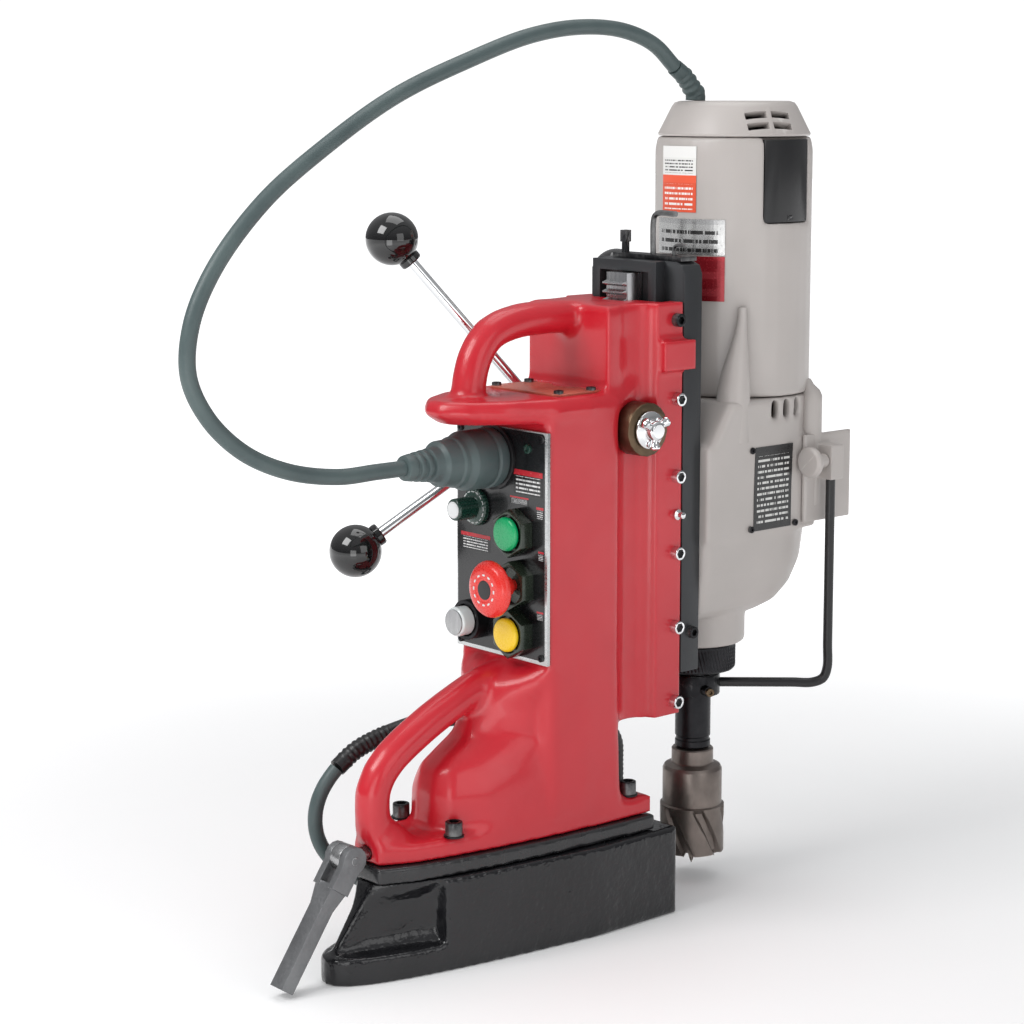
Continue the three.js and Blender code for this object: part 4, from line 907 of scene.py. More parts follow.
    def decal(self, name: str, rows: Array, finish: Finish, body: str) -> bpy.types.Object:
        """A thin printed plate from a grid of points, with its own UV map.

        The first row is its bottom edge and the first column its left edge, seen from outside. A back
        sheet 0.25 mm under the front closes it.

        Args:
            name: the plate's name.
            rows: rows x columns x 3 points of its front.
            finish: its finish.
            body: the body it rides on.

        Returns:
            The plate.
        """
        n, m = rows.shape[:2]
        mesh = bpy.data.meshes.new(name)
        front = grid(rows, closed_rows=False, capped=False)
        mesh.from_pydata(front.points.tolist(), [], front.faces)
        corner = np.empty(len(mesh.loops), np.int64)
        mesh.loops.foreach_get("vertex_index", corner)
        uv = np.stack([(corner % m) / (m - 1), (corner // m) / (n - 1)], axis=1)
        mesh.uv_layers.new(name="print").data.foreach_set("uv", uv.ravel().astype(np.float32))
        piece = new_object(name, mesh)
        wall = piece.modifiers.new("thickness", "SOLIDIFY")
        wall.thickness, wall.offset = 0.0003, -1.0
        applied(piece)
        return self.place(piece, finish, body)


def new_object(name: str, mesh: bpy.types.Mesh) -> bpy.types.Object:
    """A new object at the origin that holds a mesh."""
    piece = bpy.data.objects.new(name, mesh)
    bpy.context.scene.collection.objects.link(piece)
    return piece


def applied(piece: bpy.types.Object) -> None:
    """Replaces an object's mesh by what its modifiers make of it, and removes them."""
    mesh = bpy.data.meshes.new_from_object(piece.evaluated_get(bpy.context.evaluated_depsgraph_get()))
    piece.modifiers.clear()
    piece.data = mesh


def turn_outwards(mesh: bpy.types.Mesh) -> None:
    """Turns the faces of closed forms outwards."""
    work = bmesh.new()
    work.from_mesh(mesh)
    bmesh.ops.recalc_face_normals(work, faces=work.faces)
    work.to_mesh(mesh)
    work.free()


def pointing(direction: Sequence[float], origin: Sequence[float]) -> Matrix:
    """The matrix that turns +Z towards a direction and moves the origin to a place."""
    turn = Vector(direction).to_track_quat("Z", "Y").to_matrix().to_4x4()
    return Matrix.Translation(Vector(origin)) @ turn


def rounded_box(half: tuple[float, float], centre: tuple[float, float], radius: float) -> Array:
    """An anticlockwise rectangle with rounded corners, by its half sizes and its centre."""
    (u, v), (cu, cv) = half, centre
    corners = [(cu + u, cv), (cu + u, cv + v), (cu - u, cv + v), (cu - u, cv - v), (cu + u, cv - v)]
    line = fillet(corners, radius, steps=5, closed=True)
    return line


# ---------------------------------------------------------------- studio


@dataclass
class Studio:
    """The camera, the lights and the floor."""

    eye: tuple[float, float, float] = (1.306, -1.118, 0.620)
    azimuth: float = 48.7
    tilt: float = 8.0
    lens: float = 84.94
    rise: float = -0.079
    subject: tuple[float, float, float] = (0.0, 0.08, 0.30)
    floor_half: float = 12.0
    floor_glow: tuple[float, float] = (0.08, 0.8)
    backdrop: float = 1.8
    ambience: float = 0.6

    def build(self) -> None:
        """Makes the camera, the world, the lights and the floor."""
        self.camera()
        self.world()
        left, right, up = (-0.66, -0.751, 0.0), (0.66, 0.751, 0.0), (0.0, 0.0, 1.0)
        near = (0.751, -0.66, 0.0)
        self.light("key", (0.75, near), (1.15, left), (1.25, up), size=0.9, power=19.0)
        self.light("fill", (1.5, near), (1.2, right), (0.55, up), size=1.1, power=5.5)
        self.light("top", (-0.3, near), (0.1, right), (1.9, up), size=1.4, power=13.0)
        self.light("strip", (0.9, near), (0.25, left), (-0.02, up), size=0.4, power=1.2)
        self.floor()

    def camera(self) -> None:
        """Makes the camera at the eye, turned to the azimuth and tilted down."""
        data = bpy.data.cameras.new("camera")
        data.lens, data.sensor_width, data.shift_y = self.lens, 36.0, self.rise
        camera = bpy.data.objects.new("camera", data)
        camera.location = self.eye
        camera.rotation_euler = (math.radians(90 - self.tilt), 0.0, math.radians(self.azimuth))
        bpy.context.scene.collection.objects.link(camera)
        bpy.context.scene.camera = camera

    def world(self) -> None:
        """Surrounds the scene with a plain white backdrop, and lights it with a softer grey that pales upwards."""
        world = bpy.data.worlds.new("studio")
        bpy.context.scene.world = world
        world.use_nodes = True
        nodes, links = world.node_tree.nodes, world.node_tree.links
        height = nodes.new("ShaderNodeSeparateXYZ")
        links.new(nodes.new("ShaderNodeTexCoord").outputs["Generated"], height.inputs[0])
        shades = nodes.new("ShaderNodeValToRGB")
        stops = shades.color_ramp.elements
        stops[0].position, stops[0].color = 0.0, (0.30, 0.30, 0.31, 1.0)
        stops[1].position, stops[1].color = 0.75, (0.85, 0.86, 0.88, 1.0)
        links.new(height.outputs[2], shades.inputs[0])
        backdrop = nodes.new("ShaderNodeMix")
        backdrop.data_type = "RGBA"
        backdrop.inputs[7].default_value = (*[self.backdrop] * 3, 1.0)
        links.new(nodes.new("ShaderNodeLightPath").outputs["Is Camera Ray"], backdrop.inputs[0])
        links.new(shades.outputs[0], backdrop.inputs[6])
        links.new(backdrop.outputs[2], nodes["Background"].inputs[0])
        nodes["Background"].inputs[1].default_value = self.ambience

    def light(self, name: str, *offsets: tuple[float, tuple[float, float, float]], size: float,
              power: float) -> None:
        """Makes one square area light.

        Args:
            name: the light's name.
            offsets: distances from the subject, each with its direction.
            size: the light's side.
            power: its power in watts.
        """
        data = bpy.data.lights.new(name, "AREA")
        data.shape, data.size, data.energy = "SQUARE", size, power
        lamp = bpy.data.objects.new(name, data)
        lamp.location = Vector(self.subject) + sum((Vector(d) * r for r, d in offsets), Vector())
        lamp.rotation_euler = (Vector(self.subject) - lamp.location).to_track_quat("-Z", "Y").to_euler()
        bpy.context.scene.collection.objects.link(lamp)

    def floor(self) -> None:
        """Makes a wide pale floor just under the object, which glows more the farther it runs from it.

        The glow rises by a smooth step over the distance from the subject, so that the floor's far
        side meets the backdrop without a seam.
        """
        side = np.linspace(-1, 1, 121)
        x, y = np.meshgrid(*[self.floor_half * side * np.abs(side) ** 1.5] * 2)
        form = grid(np.stack([x, y, np.full_like(x, -0.0002)], axis=-1), closed_rows=False, capped=False)
        mesh = bpy.data.meshes.new("floor")
        mesh.from_pydata(form.points.tolist(), [], form.faces)
        distance = np.hypot(x - self.subject[0], y - self.subject[1]).ravel()
        glow = self.floor_glow[0] + (self.floor_glow[1] - self.floor_glow[0]) * ramp((distance - 0.35) / 1.3)
        mesh.attributes.new("glow", "FLOAT", "POINT").data.foreach_set("value", glow.astype(np.float32))
        floor = new_object("floor", mesh)
        weave = Weave("pale_floor")
        shade = weave.blend(weave.noise(2.0), (0.88, 0.88, 0.88), (0.9, 0.9, 0.9))
        weave.shader.inputs["Emission Color"].default_value = (1.0, 1.0, 1.0, 1.0)
        strength = weave.node("ShaderNodeAttribute", attribute_name="glow").outputs["Fac"]
        weave.tree.links.new(strength, weave.shader.inputs["Emission Strength"])
        floor.data.materials.append(weave.finish(shade, weave.between(weave.noise(6.0), 0, 1, 0.5, 0.6), None))
        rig.stage(floor)


# ---------------------------------------------------------------- cords


@dataclass
class Cords:
    """The motor's lead with its plug and relief, and the mains cord with its sleeve, coil and plug."""

    lead_radius: float = 5.75 * MM
    mains_radius: float = 5.5 * MM
    plug_back: tuple[float, float, float] = (-8 * MM, 16.2 * MM, 357 * MM)
    coil_centre: tuple[float, float] = (-140.0, 160.0)
    coil_radii: tuple[float, ...] = (73.0, 62.0, 51.0, 56.5, 67.5)
    lead_route: tuple[tuple[float, float, float], ...] = (
        (-8, -66.1, 357), (-8, -90, 357), (-8, -123, 357), (-9, -165, 365), (-9, -202, 382), (-9, -230, 408),
        (-10, -243, 436), (-10, -240, 469), (-10, -222, 504), (-11, -181, 547), (-11, -129, 583),
        (-12, -67, 617), (-12, -1, 642), (-12, 58, 660), (-13, 109, 667), (-13, 152, 665), (-13, 184, 655),
        (-13.5, 206, 639))
    relief_route: tuple[tuple[float, float, float], ...] = (
        (-13.5, 206.6, 638.4), (-13.8, 218, 631), (-14, 226.5, 622), (-14, 230, 618), (-14, 230, 613.3))
    sleeve_route: tuple[tuple[float, float, float], ...] = (
        (-44, 34, 152), (-51, 34, 152), (-58, 32, 152), (-63, 22, 152), (-66, 5, 151), (-70, -40, 145),
        (-71.3, -62, 138.5), (-72, -78, 128.5))
    mains_route: tuple[tuple[float, float, float], ...] = (
        (-72, -78.9, 127.9), (-72.9, -84.7, 122.5), (-74, -89.9, 115.4), (-75, -94, 106.7), (-75.8, -96.2, 97.3),
        (-76, -96.3, 87.7), (-75.8, -94.5, 78.3), (-75, -90.7, 69.4), (-73.9, -85.2, 61.5), (-72.7, -77.3, 54),
        (-71.2, -65.5, 44.8), (-70, -51, 34.2), (-70, -36, 24.3), (-71, -18, 14.6), (-73, 2, 8.6), (-75, 22, 6.4),
        (-77.2, 42, 6), (-83.3, 58, 6), (-91.4, 69.3, 6), (-102.5, 77.8, 6), (-115.5, 83.2, 6))

    def build(self, shop: Workshop) -> None:
        """Makes both cords and what is on them."""
        self.motor_lead(shop)
        self.mains(shop)

    def motor_lead(self, shop: Workshop) -> None:
        """Makes the lead that arches from the panel's plug to the top of the motor."""
        path = smooth_path(np.array(self.lead_route) * MM)
        lead = shop.make("motor_lead_jacket", tube(path, self.lead_radius, 24), GREY_RUBBER, None, ["motor_lead"])
        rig.blend(lead, "housing", "carriage", start=(0, 0, 0.42), end=(0, 0, 0.63))
        route = smooth_path(np.array(self.relief_route) * MM, 0.001)
        t = np.linspace(0, 1, len(route))
        ribs = np.where((t > 0.25) & (t < 0.9), 0.5 * MM * np.cos(TURN * 6 * t), 0.0)
        relief = shop.make("motor_lead_boot", tube(route, (6.4 + 1.2 * t) * MM + ribs, 24), GREY_RUBBER, "carriage",
                           ["lead_relief"])
        plug = shop.make("panel_plug_body", self.plug_form(), GREY_RUBBER, "housing", ["lead_plug"])
        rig.cord(lead, exit=path[0], length=length_of(path), diameter=2 * self.lead_radius, far_end="object",
                stiffness="medium", lay="hanging", path=path, with_pieces=[plug, relief])

    def plug_form(self) -> Form:
        """The plug: a gripped barrel, a shoulder, and a slotted boot that narrows onto the lead."""
        profile = np.array([(16, 0), (21.6, 0.4), (22, 2.5), (22, 8), (20.6, 9), (20.6, 10.5), (21.8, 11.5), (21.6, 29),
                            (20, 31.5), (18.6, 34), (18.6, 38), (17.2, 39.5), (16.6, 51), (13.4, 53.5), (12.6, 57),
                            (12.2, 60), (9.9, 60.6), (9.9, 62.6), (11.7, 63.2), (11.4, 66), (9.4, 66.6),
                            (9.4, 68.6), (10.9, 69.2), (10.6, 72), (8.9, 72.6), (8.9, 74.6), (10.1, 75.2), (9.0, 81.5),
                            (6.0, 82)]) * MM
        back = self.plug_back

        def grips(angle: Array, along: Array) -> Array:
            """Shallow flutes on the barrel, between 12 and 29 mm from its face."""
            inside = (along < back[1] - 12.5 * MM) & (along > back[1] - 28.5 * MM)
            return -0.9 * MM * inside * (np.cos(14 * angle) > 0.35)

        line = np.stack([profile[:, 0], back[1] - profile[:, 1]], axis=1)
        dense = fillet(line, 0.5 * MM, steps=2)
        return turned(dense, Axis.Y, sides=112, wave=grips).at(0, 0, 0).moved(
            Matrix.Translation(Vector((back[0], 0, back[2]))))

    def coil(self) -> Array:
        """The coil's centreline in millimetres: three turns side by side and two on top of them.

        Turn k has its own radius, reached from the last by a smooth step over its first third. The
        third turn climbs by a smooth step, so that the last two lie in the grooves under them. The
        cord runs clockwise from the side nearest the operator.

        Returns:
            The centreline's points.
        """
        turns = np.linspace(0.03, 5.17, 420)
        k = np.minimum(turns.astype(int), 5)
        part = turns - k
        now = np.array([*self.coil_radii, self.coil_radii[-1] + 11.0])[k]
        before = np.array([self.coil_radii[0], *self.coil_radii])[k]
        r = before + (now - before) * ramp(part / 0.35)
        z = 5.9 + 10.8 * ramp((turns - 2.55) / 0.45) - 1.4 * ramp((turns - 3.35) / 0.15)
        z += np.where(k == 4, 1.3 * np.sin(np.pi * np.clip(part / 0.35, 0, 1)), 0.0)
        angle = -TURN / 4 - TURN * turns
        x, y = self.coil_centre
        return np.stack([x + r * np.cos(angle), y + r * np.sin(angle), z], axis=1)

    def mains(self, shop: Workshop) -> None:
        """Makes the mains cord, from its sleeve down to the ground, round its coil and into its plug."""
        last = [(-217.5, 166, 14.6), (-219.2, 180, 14.2), (-220, 191.6, 14.2)]
        route = np.vstack([np.array(self.mains_route, float), self.coil()[4::7], np.array(last)]) * MM
        path = eased(smooth_path(route, 0.0025), 16)
        cord = shop.make("mains_cord_jacket", tube(path, self.mains_radius, 20), GREY_RUBBER, "housing",
                         ["mains_cord", "mains_coil"])
        route = smooth_path(np.array(self.sleeve_route) * MM, 0.001)
        t = np.linspace(0, 1, len(route))
        ribs = np.where((t > 0.62) & (t < 0.94), 0.45 * MM * np.cos(TURN * 30 * t), 0.0)
        sleeve = shop.make("mains_cord_sleeve", tube(route, (8.0 - 1.4 * ramp(t * 1.1)) * MM + ribs, 24),
                           BLACK_PLASTIC, "housing", ["mains_sleeve"])
        plug = shop.broken_edges("mains_plug", "mains_plug_body", BLACK_PLASTIC, "housing", 0.7 * MM)
        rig.cord(cord, exit=path[0], length=length_of(path), diameter=2 * self.mains_radius, far_end="plug",
                stiffness="medium", lay="coiled", path=path, with_pieces=[sleeve, plug])


# ---------------------------------------------------------------- magnet base


@dataclass
class MagnetBase:
    """The electromagnet, with its black casting and its winding."""

    voxel: float = 1.7 * MM
    rounds: int = 9

    def build(self, shop: Workshop) -> None:
        """Makes the casting and dresses the coil."""
        shop.softened("magnet_body", "magnet_casting", BLACK_CASTING, "base", self.voxel, self.rounds, self.share)
        dress(shop, "magnet_coil", COPPER)

    def share(self, p: Array) -> Array:
        """Less relaxing at the bottom face, which is ground flat."""
        return 0.35 + 0.65 * ramp(p[:, 2] / (6 * MM))


def dress(shop: Workshop, node: str, finish: Finish) -> None:
    """Gives a CAD node that stays in place its finish, on its object's own material slots."""
    piece = shop.nodes[node]
    if not piece.material_slots:
        piece.data.materials.append(None)
    for place in piece.material_slots:
        place.link = "OBJECT"
        place.material = shop.material(finish)


# ---------------------------------------------------------------- housing


@dataclass
class Housing:
    """The red casting, the plate that it turns on, its covers and its screws."""

    voxel: float = 2.0 * MM
    rounds: int = 16
    bolts: tuple[tuple[float, float], ...] = ((30, -52), (-30, -52), (38, 112), (-38, 112))
    flange_top: float = 95.3
    rail_x: float = 50.0
    gib_screws: tuple[float, ...] = (164.0, 221.5, 278.0, 336.0, 394.0)
    stop_screw: float = 453.0
    nipple: float = 307.0
    visor_top: float = 404.0

    def build(self, shop: Workshop) -> None:
        """Makes the casting and everything screwed to it."""
        shop.softened("housing_casting", "housing_shell", RED_ENAMEL, "housing", self.voxel, self.rounds, self.share)
        shop.softened("swivel_plate", "turning_plate", BLACK_PLATE, "housing", 1.8 * MM, 5)
        shop.broken_edges("visor_cover", "hood_cover", TERRACOTTA, "housing", 0.5 * MM)
        for node, name, finish in (("feed_bush_right", "right_bush", BRONZE), ("feed_bush_left", "left_bush", BRONZE)):
            shop.broken_edges(node, name, finish, "housing", 0.8 * MM)
        dress(shop, "gib", MACHINED)
        self.flange_bolts(shop)
        self.rail_screws(shop)
        self.cover_screws(shop)
        self.conduit(shop)

    def share(self, p: Array) -> Array:
        """Full relaxing on the cast swells, and little on the machined rails and round the panel."""
        rail = ramp((p[:, 1] - 112 * MM) / (10 * MM))
        inside = (np.abs(p[:, 0]) < 51 * MM) & (p[:, 2] > 205 * MM) & (p[:, 2] < 386 * MM)
        panel = inside * ramp((40 * MM - p[:, 1]) / (12 * MM)) * ramp((p[:, 1] - 15 * MM) / (4 * MM))
        foot = 1 - ramp((p[:, 2] - 80 * MM) / (14 * MM))
        side = inside * ramp((p[:, 1] - 15 * MM) / (5 * MM))
        return 1 - np.clip(0.86 * rail + 0.8 * panel + 0.75 * foot + 0.55 * side, 0, 0.88)

    def flange_bolts(self, shop: Workshop) -> None:
        """Makes the socket screws that hold the housing down, each on its washer."""
        bolt = cap_screw(6.2 * MM, 9.5 * MM, 3.4 * MM)
        section = np.array([(2.0, 0.1), (7.4, 0.1), (7.4, 1.5), (2.0, 1.5)]) * MM
        washer = turned(section, radius=0.3 * MM)
        z = self.flange_top * MM
        heads = [bolt.at(x * MM, y * MM, z + 1.6 * MM) for x, y in self.bolts]
        washers = [washer.at(x * MM, y * MM, z - 0.2 * MM) for x, y in self.bolts]
        shop.make("flange_bolts", together(heads), BLACK_STEEL, "housing")
        shop.make("flange_washers", together(washers), BLACK_STEEL, "housing")

    def rail_screws(self, shop: Workshop) -> None:
        """Makes the gib's set screws with black discs in their sockets as painted shade, the stop screw and the grease
        nipple.
        """
        x = self.rail_x * MM
        head = cap_screw(5.0 * MM, 6.0 * MM, 3.1 * MM, Axis.X)
        # Black discs set inside the chrome sockets: painted shade, standing in for the shade deep in each socket.
        pit = turned([(0.3 * MM, 0), (3.2 * MM, 0), (3.2 * MM, 3.6 * MM), (0.3 * MM, 3.6 * MM)], Axis.X, 24)
        heads = [head.at(x + 0.05 * MM, 148 * MM, z * MM) for z in self.gib_screws]
        pits = [pit.at(x + 0.05 * MM, 148 * MM, z * MM) for z in self.gib_screws]
        shop.make("gib_set_screws", together(heads), CHROME, "housing", sharp=25.0)
        # The black discs in the sockets are painted shade, not a part of the screws.
        shop.make("gib_socket_floors", together(pits), BLACK_PLASTIC, "housing")
        stop = cap_screw(5.0 * MM, 5.5 * MM, 2.6 * MM, Axis.X).at(x + 0.2 * MM, 147 * MM, self.stop_screw * MM)
        shop.make("stop_screw", stop, BLACK_STEEL, "housing")
        nipple = turned([(0.6, 0), (4.0, 0), (4.0, 2.2), (2.0, 3.4), (1.9, 5.0), (2.8, 6.0), (2.4, 7.4), (0.8, 8.0)],
                        Axis.X, 24)
        nipple = Form(nipple.points * MM, nipple.faces).at(x, 149 * MM, self.nipple * MM)
        shop.make("grease_nipple", nipple, CHROME, "housing")

    def cover_screws(self, shop: Workshop) -> None:
        """Makes the button-head screws of the hood's cover."""
        head = cap_screw(3.6 * MM, 2.6 * MM, 1.7 * MM)
        places = [(-34, 44), (34, 44), (-34, 76), (34, 76)]
        z = self.visor_top * MM + 0.9 * MM
        shop.make("cover_screws", together([head.at(x * MM, y * MM, z) for x, y in places]), BLACK_STEEL, "housing")

    def conduit(self, shop: Workshop) -> None:
        """Makes the conduit that carries the magnet's wires from the column to the flange."""
        route = np.array([(18, 104, 143), (18, 112, 142), (18, 119, 132), (18, 120, 115), (18, 120, 95.6)]) * MM
        path = smooth_path(route, 0.0012)
        run = np.linspace(0, 1, len(path))
        ribs = 0.25 * MM * np.cos(TURN * 16 * run)
        shop.make("wire_conduit", tube(path, 4.7 * MM + ribs, 24), BLACK_PLASTIC, "housing", ["magnet_conduit"])


# ---------------------------------------------------------------- control panel


@dataclass
class ControlPanel:
    """The switch panel: its plate and film, the push buttons, the speed dial and the socket."""

    face: float = 19.0
    bezel: float = 18.7
    cap_depth: float = 10.4
    marks_r: float = 10.9
    reach: dict[str, float] = field(default_factory=lambda: {
        "start": 15.0, "stop": 34.0, "magnet": 15.0, "reset": 22.0})
    centres: dict[str, tuple[float, float]] = field(default_factory=lambda: {
        "start": (19.0, 305.0), "stop": (20.0, 267.0), "magnet": (19.0, 231.0), "reset": (-28.0, 234.0)})
    dial: tuple[float, float] = (-26.0, 318.0)

    def build(self, shop: Workshop) -> None:
        """Makes the plate, what is printed on it and every control."""
        shop.broken_edges("control_panel", "panel_plate", SILVER_EDGE, "housing", 0.5 * MM)
        outline = rounded_box((48.0 * MM, 82.6 * MM), (-0.8 * MM, 296.4 * MM), 3 * MM)
        film = slab(outline[:, ::-1][::-1], Axis.Y, (self.face - 0.28) * MM, (self.face - 0.02) * MM, 0.05 * MM)
        shop.make("panel_film", film, PANEL_FILM, "housing")
        for name in self.centres:
            finish = BLACK_STEEL if name == "reset" else OLIVE_NUT
            shop.broken_edges(f"{name}_switch", f"{name}_bezel", finish, "housing", 1.1 * MM, 3)
        shop.broken_edges("drill_socket", "panel_socket", BLACK_PLASTIC, "housing", 0.8 * MM)
        self.caps(shop)
        self.stop_head(shop)
        self.dial_knob(shop)
        self.print(shop)
        self.screws(shop)
        dress(shop, "control_board", BOARD)
        dress(shop, "speed_control", BLACK_PLASTIC)

    def about(self, form: Form, name: str) -> Form:
        """A form about the Y axis moved to a control's centre."""
        x, z = self.centres[name]
        return form.at(x * MM, 0, z * MM)

    def caps(self, shop: Workshop) -> None:
        """Makes the three caps that stand in their bezels, each slightly domed, on its stem."""
        caps = (("start", 12.4, GREEN_CAP), ("magnet", 12.4, YELLOW_CAP), ("reset", 10.9, WHITE_CAP))
        for name, radius, finish in caps:
            front = self.bezel - self.reach[name]
            back = self.bezel - self.cap_depth
            profile = np.array([(0.2, front), (0.55 * radius, front + 0.15), (0.9 * radius, front + 0.7),
                                (radius, front + 1.9), (radius, back), (4, back), (4, 27.6), (0.2, 27.6)]) * MM
            cap = self.about(turned(profile, Axis.Y, 64, 0.9 * MM), name)
            shop.make(f"{name}_cap", cap, finish, f"{name}_button", [f"{name}_button"])
        ring = np.array([(8.6, -3.9), (9.4, -3.9), (9.4, -2.2), (8.6, -2.2), (8.6, -3.9)]) * MM
        x, z = self.centres["reset"]
        lip = turned(ring[:-1], Axis.Y, 64, 0.2 * MM)
        shop.make("reset_ring", lip.at(x * MM, 0.35 * MM, z * MM), MACHINED, "reset_button")

    def stop_head(self, shop: Workshop) -> None:
        """Makes the mushroom head with its waisted neck, its black centre and its ring of marks."""
        front = self.bezel - self.reach["stop"]
        profile = np.array([(0.2, 0.5), (8.8, 0.5), (9.2, 0.0), (14.5, 0.35), (18.3, 1.9), (20.4, 4.6), (20.9, 7.2),
                            (19.8, 9.4), (16.0, 10.2), (9.5, 10.6), (7.6, 13.0), (7.4, 23.4), (4.0, 23.6), (4.0, 43.4),
                            (0.2, 43.4)])
        profile[:, 1] += front
        head = self.about(turned(profile * MM, Axis.Y, 72, 1.0 * MM), "stop")
        shop.make("stop_head", head, RED_CAP, "stop_button", ["stop_button"])
        disc = np.array([(0.2, 0.1), (6.6, 0.2), (7.2, 0.6), (7.2, 1.2), (0.2, 1.2)]) * MM
        centre = turned(disc, Axis.Y, 48, 0.3 * MM)
        shop.make("stop_centre", self.about(centre, "stop").at(0, front * MM, 0), BLACK_PLASTIC, "stop_button")
        mark = slab(rounded_box((0.6 * MM, 1.25 * MM), (0.0, 0.0), 0.3 * MM), Axis.Y, 0.12 * MM, 0.6 * MM)
        marks = []
        for angle in np.linspace(0, TURN, 13)[:-1]:
            turn = Matrix.Rotation(float(angle), 4, "Y") @ Matrix.Translation(Vector((0, 0, self.marks_r * MM)))
            marks.append(mark.moved(turn))
        ring = self.about(together(marks), "stop").at(0, (front - 0.25) * MM, 0)
        shop.make("stop_marks", ring, WHITE_INK, "stop_button")

    def dial_knob(self, shop: Workshop) -> None:
        """Makes the speed dial: a fluted knob with a white cap on a skirt with marks."""
        x, z = self.dial
        skirt = np.array([(2.9, 27.0), (2.9, 18.5), (13.4, 18.4), (14.0, 17.6), (13.6, 15.0), (9.6, 13.2), (8.4, 12.8),
                          (8.2, -3.6), (7.2, -4.8), (0.3, -4.8)]) * MM

        def flutes(angle: Array, along: Array) -> Array:
            """Flutes on the knob's barrel and fine ones round the skirt's rim."""
            barrel = (along < 12.0 * MM) & (along > -3.4 * MM)
            rim = (along > 14.4 * MM) & (along < 18.2 * MM)
            return MM * (-0.7 * barrel * (np.cos(12 * angle) > 0.2) - 0.5 * rim * (np.cos(30 * angle) > 0))

        knob = turned(fillet(skirt, 0.5 * MM, 2), Axis.Y, 120, wave=flutes).at(x * MM, 0, z * MM)
        shop.make("dial_knob", knob, DIAL_GREEN, "speed_dial", ["speed_dial"])
        lid = np.array([(0.2, -6.2), (5.0, -6.0), (6.2, -5.3), (6.2, -4.6), (0.2, -4.6)]) * MM
        cap = turned(lid, Axis.Y, 48, 0.3 * MM)
        shop.make("dial_cap", cap.at(x * MM, 0, z * MM), WHITE_INK, "speed_dial")
        tick = slab(rounded_box((0.42 * MM, 1.5 * MM), (0.0, 0.0), 0.2 * MM), Axis.Y, -0.2 * MM, 0.2 * MM)
        ticks = []
        for angle in np.linspace(0, TURN, 17)[:-1]:
            lean = Matrix.Rotation(float(angle), 4, "Y") @ Matrix.Translation(Vector((0, 14.0 * MM, 11.6 * MM)))
            ticks.append(tick.moved(lean @ Matrix.Rotation(math.radians(24), 4, "X")))
        shop.make("dial_marks", together(ticks).at(x * MM, 0, z * MM), WHITE_INK, "speed_dial")

    def print(self, shop: Workshop) -> None:
        """Prints the panel's generic marks: a note under the socket and one mark beside each switch."""
        notes = {"panel_note": (14.0, 45.0, 333.0, 351.0), "start_note": (38.5, 46.0, 317.0, 326.0),
                 "stop_note": (40.5, 46.4, 287.0, 294.0), "magnet_note": (39.0, 46.0, 243.5, 250.0),
                 "dial_note": (-45.0, -12.0, 285.0, 297.5), "motor_note": (10.0, 30.0, 325.5, 331.0)}
        for name, (x0, x1, z0, z1) in notes.items():
            x, z = np.meshgrid(np.linspace(x0, x1, 5), np.linspace(z0, z1, 5))
            rows = np.stack([x, np.full_like(x, self.face - 0.36), z], axis=-1) * MM
            shop.decal(name, rows, PANEL_PRINT, "housing")

    def screws(self, shop: Workshop) -> None:
        """Makes the panel's corner screws and the ground screw."""
        head = cap_screw(2.6 * MM, 1.5 * MM, 1.1 * MM, Axis.Y, -1.0)
        places = [(-45, 216), (44, 216), (-45, 375), (44, 375)]
        y = (self.face - 0.25) * MM
        shop.make("panel_screws", together([head.at(x * MM, y, z * MM) for x, z in places]), BLACK_STEEL, "housing")
        ground = cap_screw(3.4 * MM, 2.0 * MM, 1.6 * MM, Axis.Y, -1.0).at(30 * MM, y, 367 * MM)
        shop.make("ground_screw", ground, DIAL_GREEN, "housing")


# ---------------------------------------------------------------- feed handle


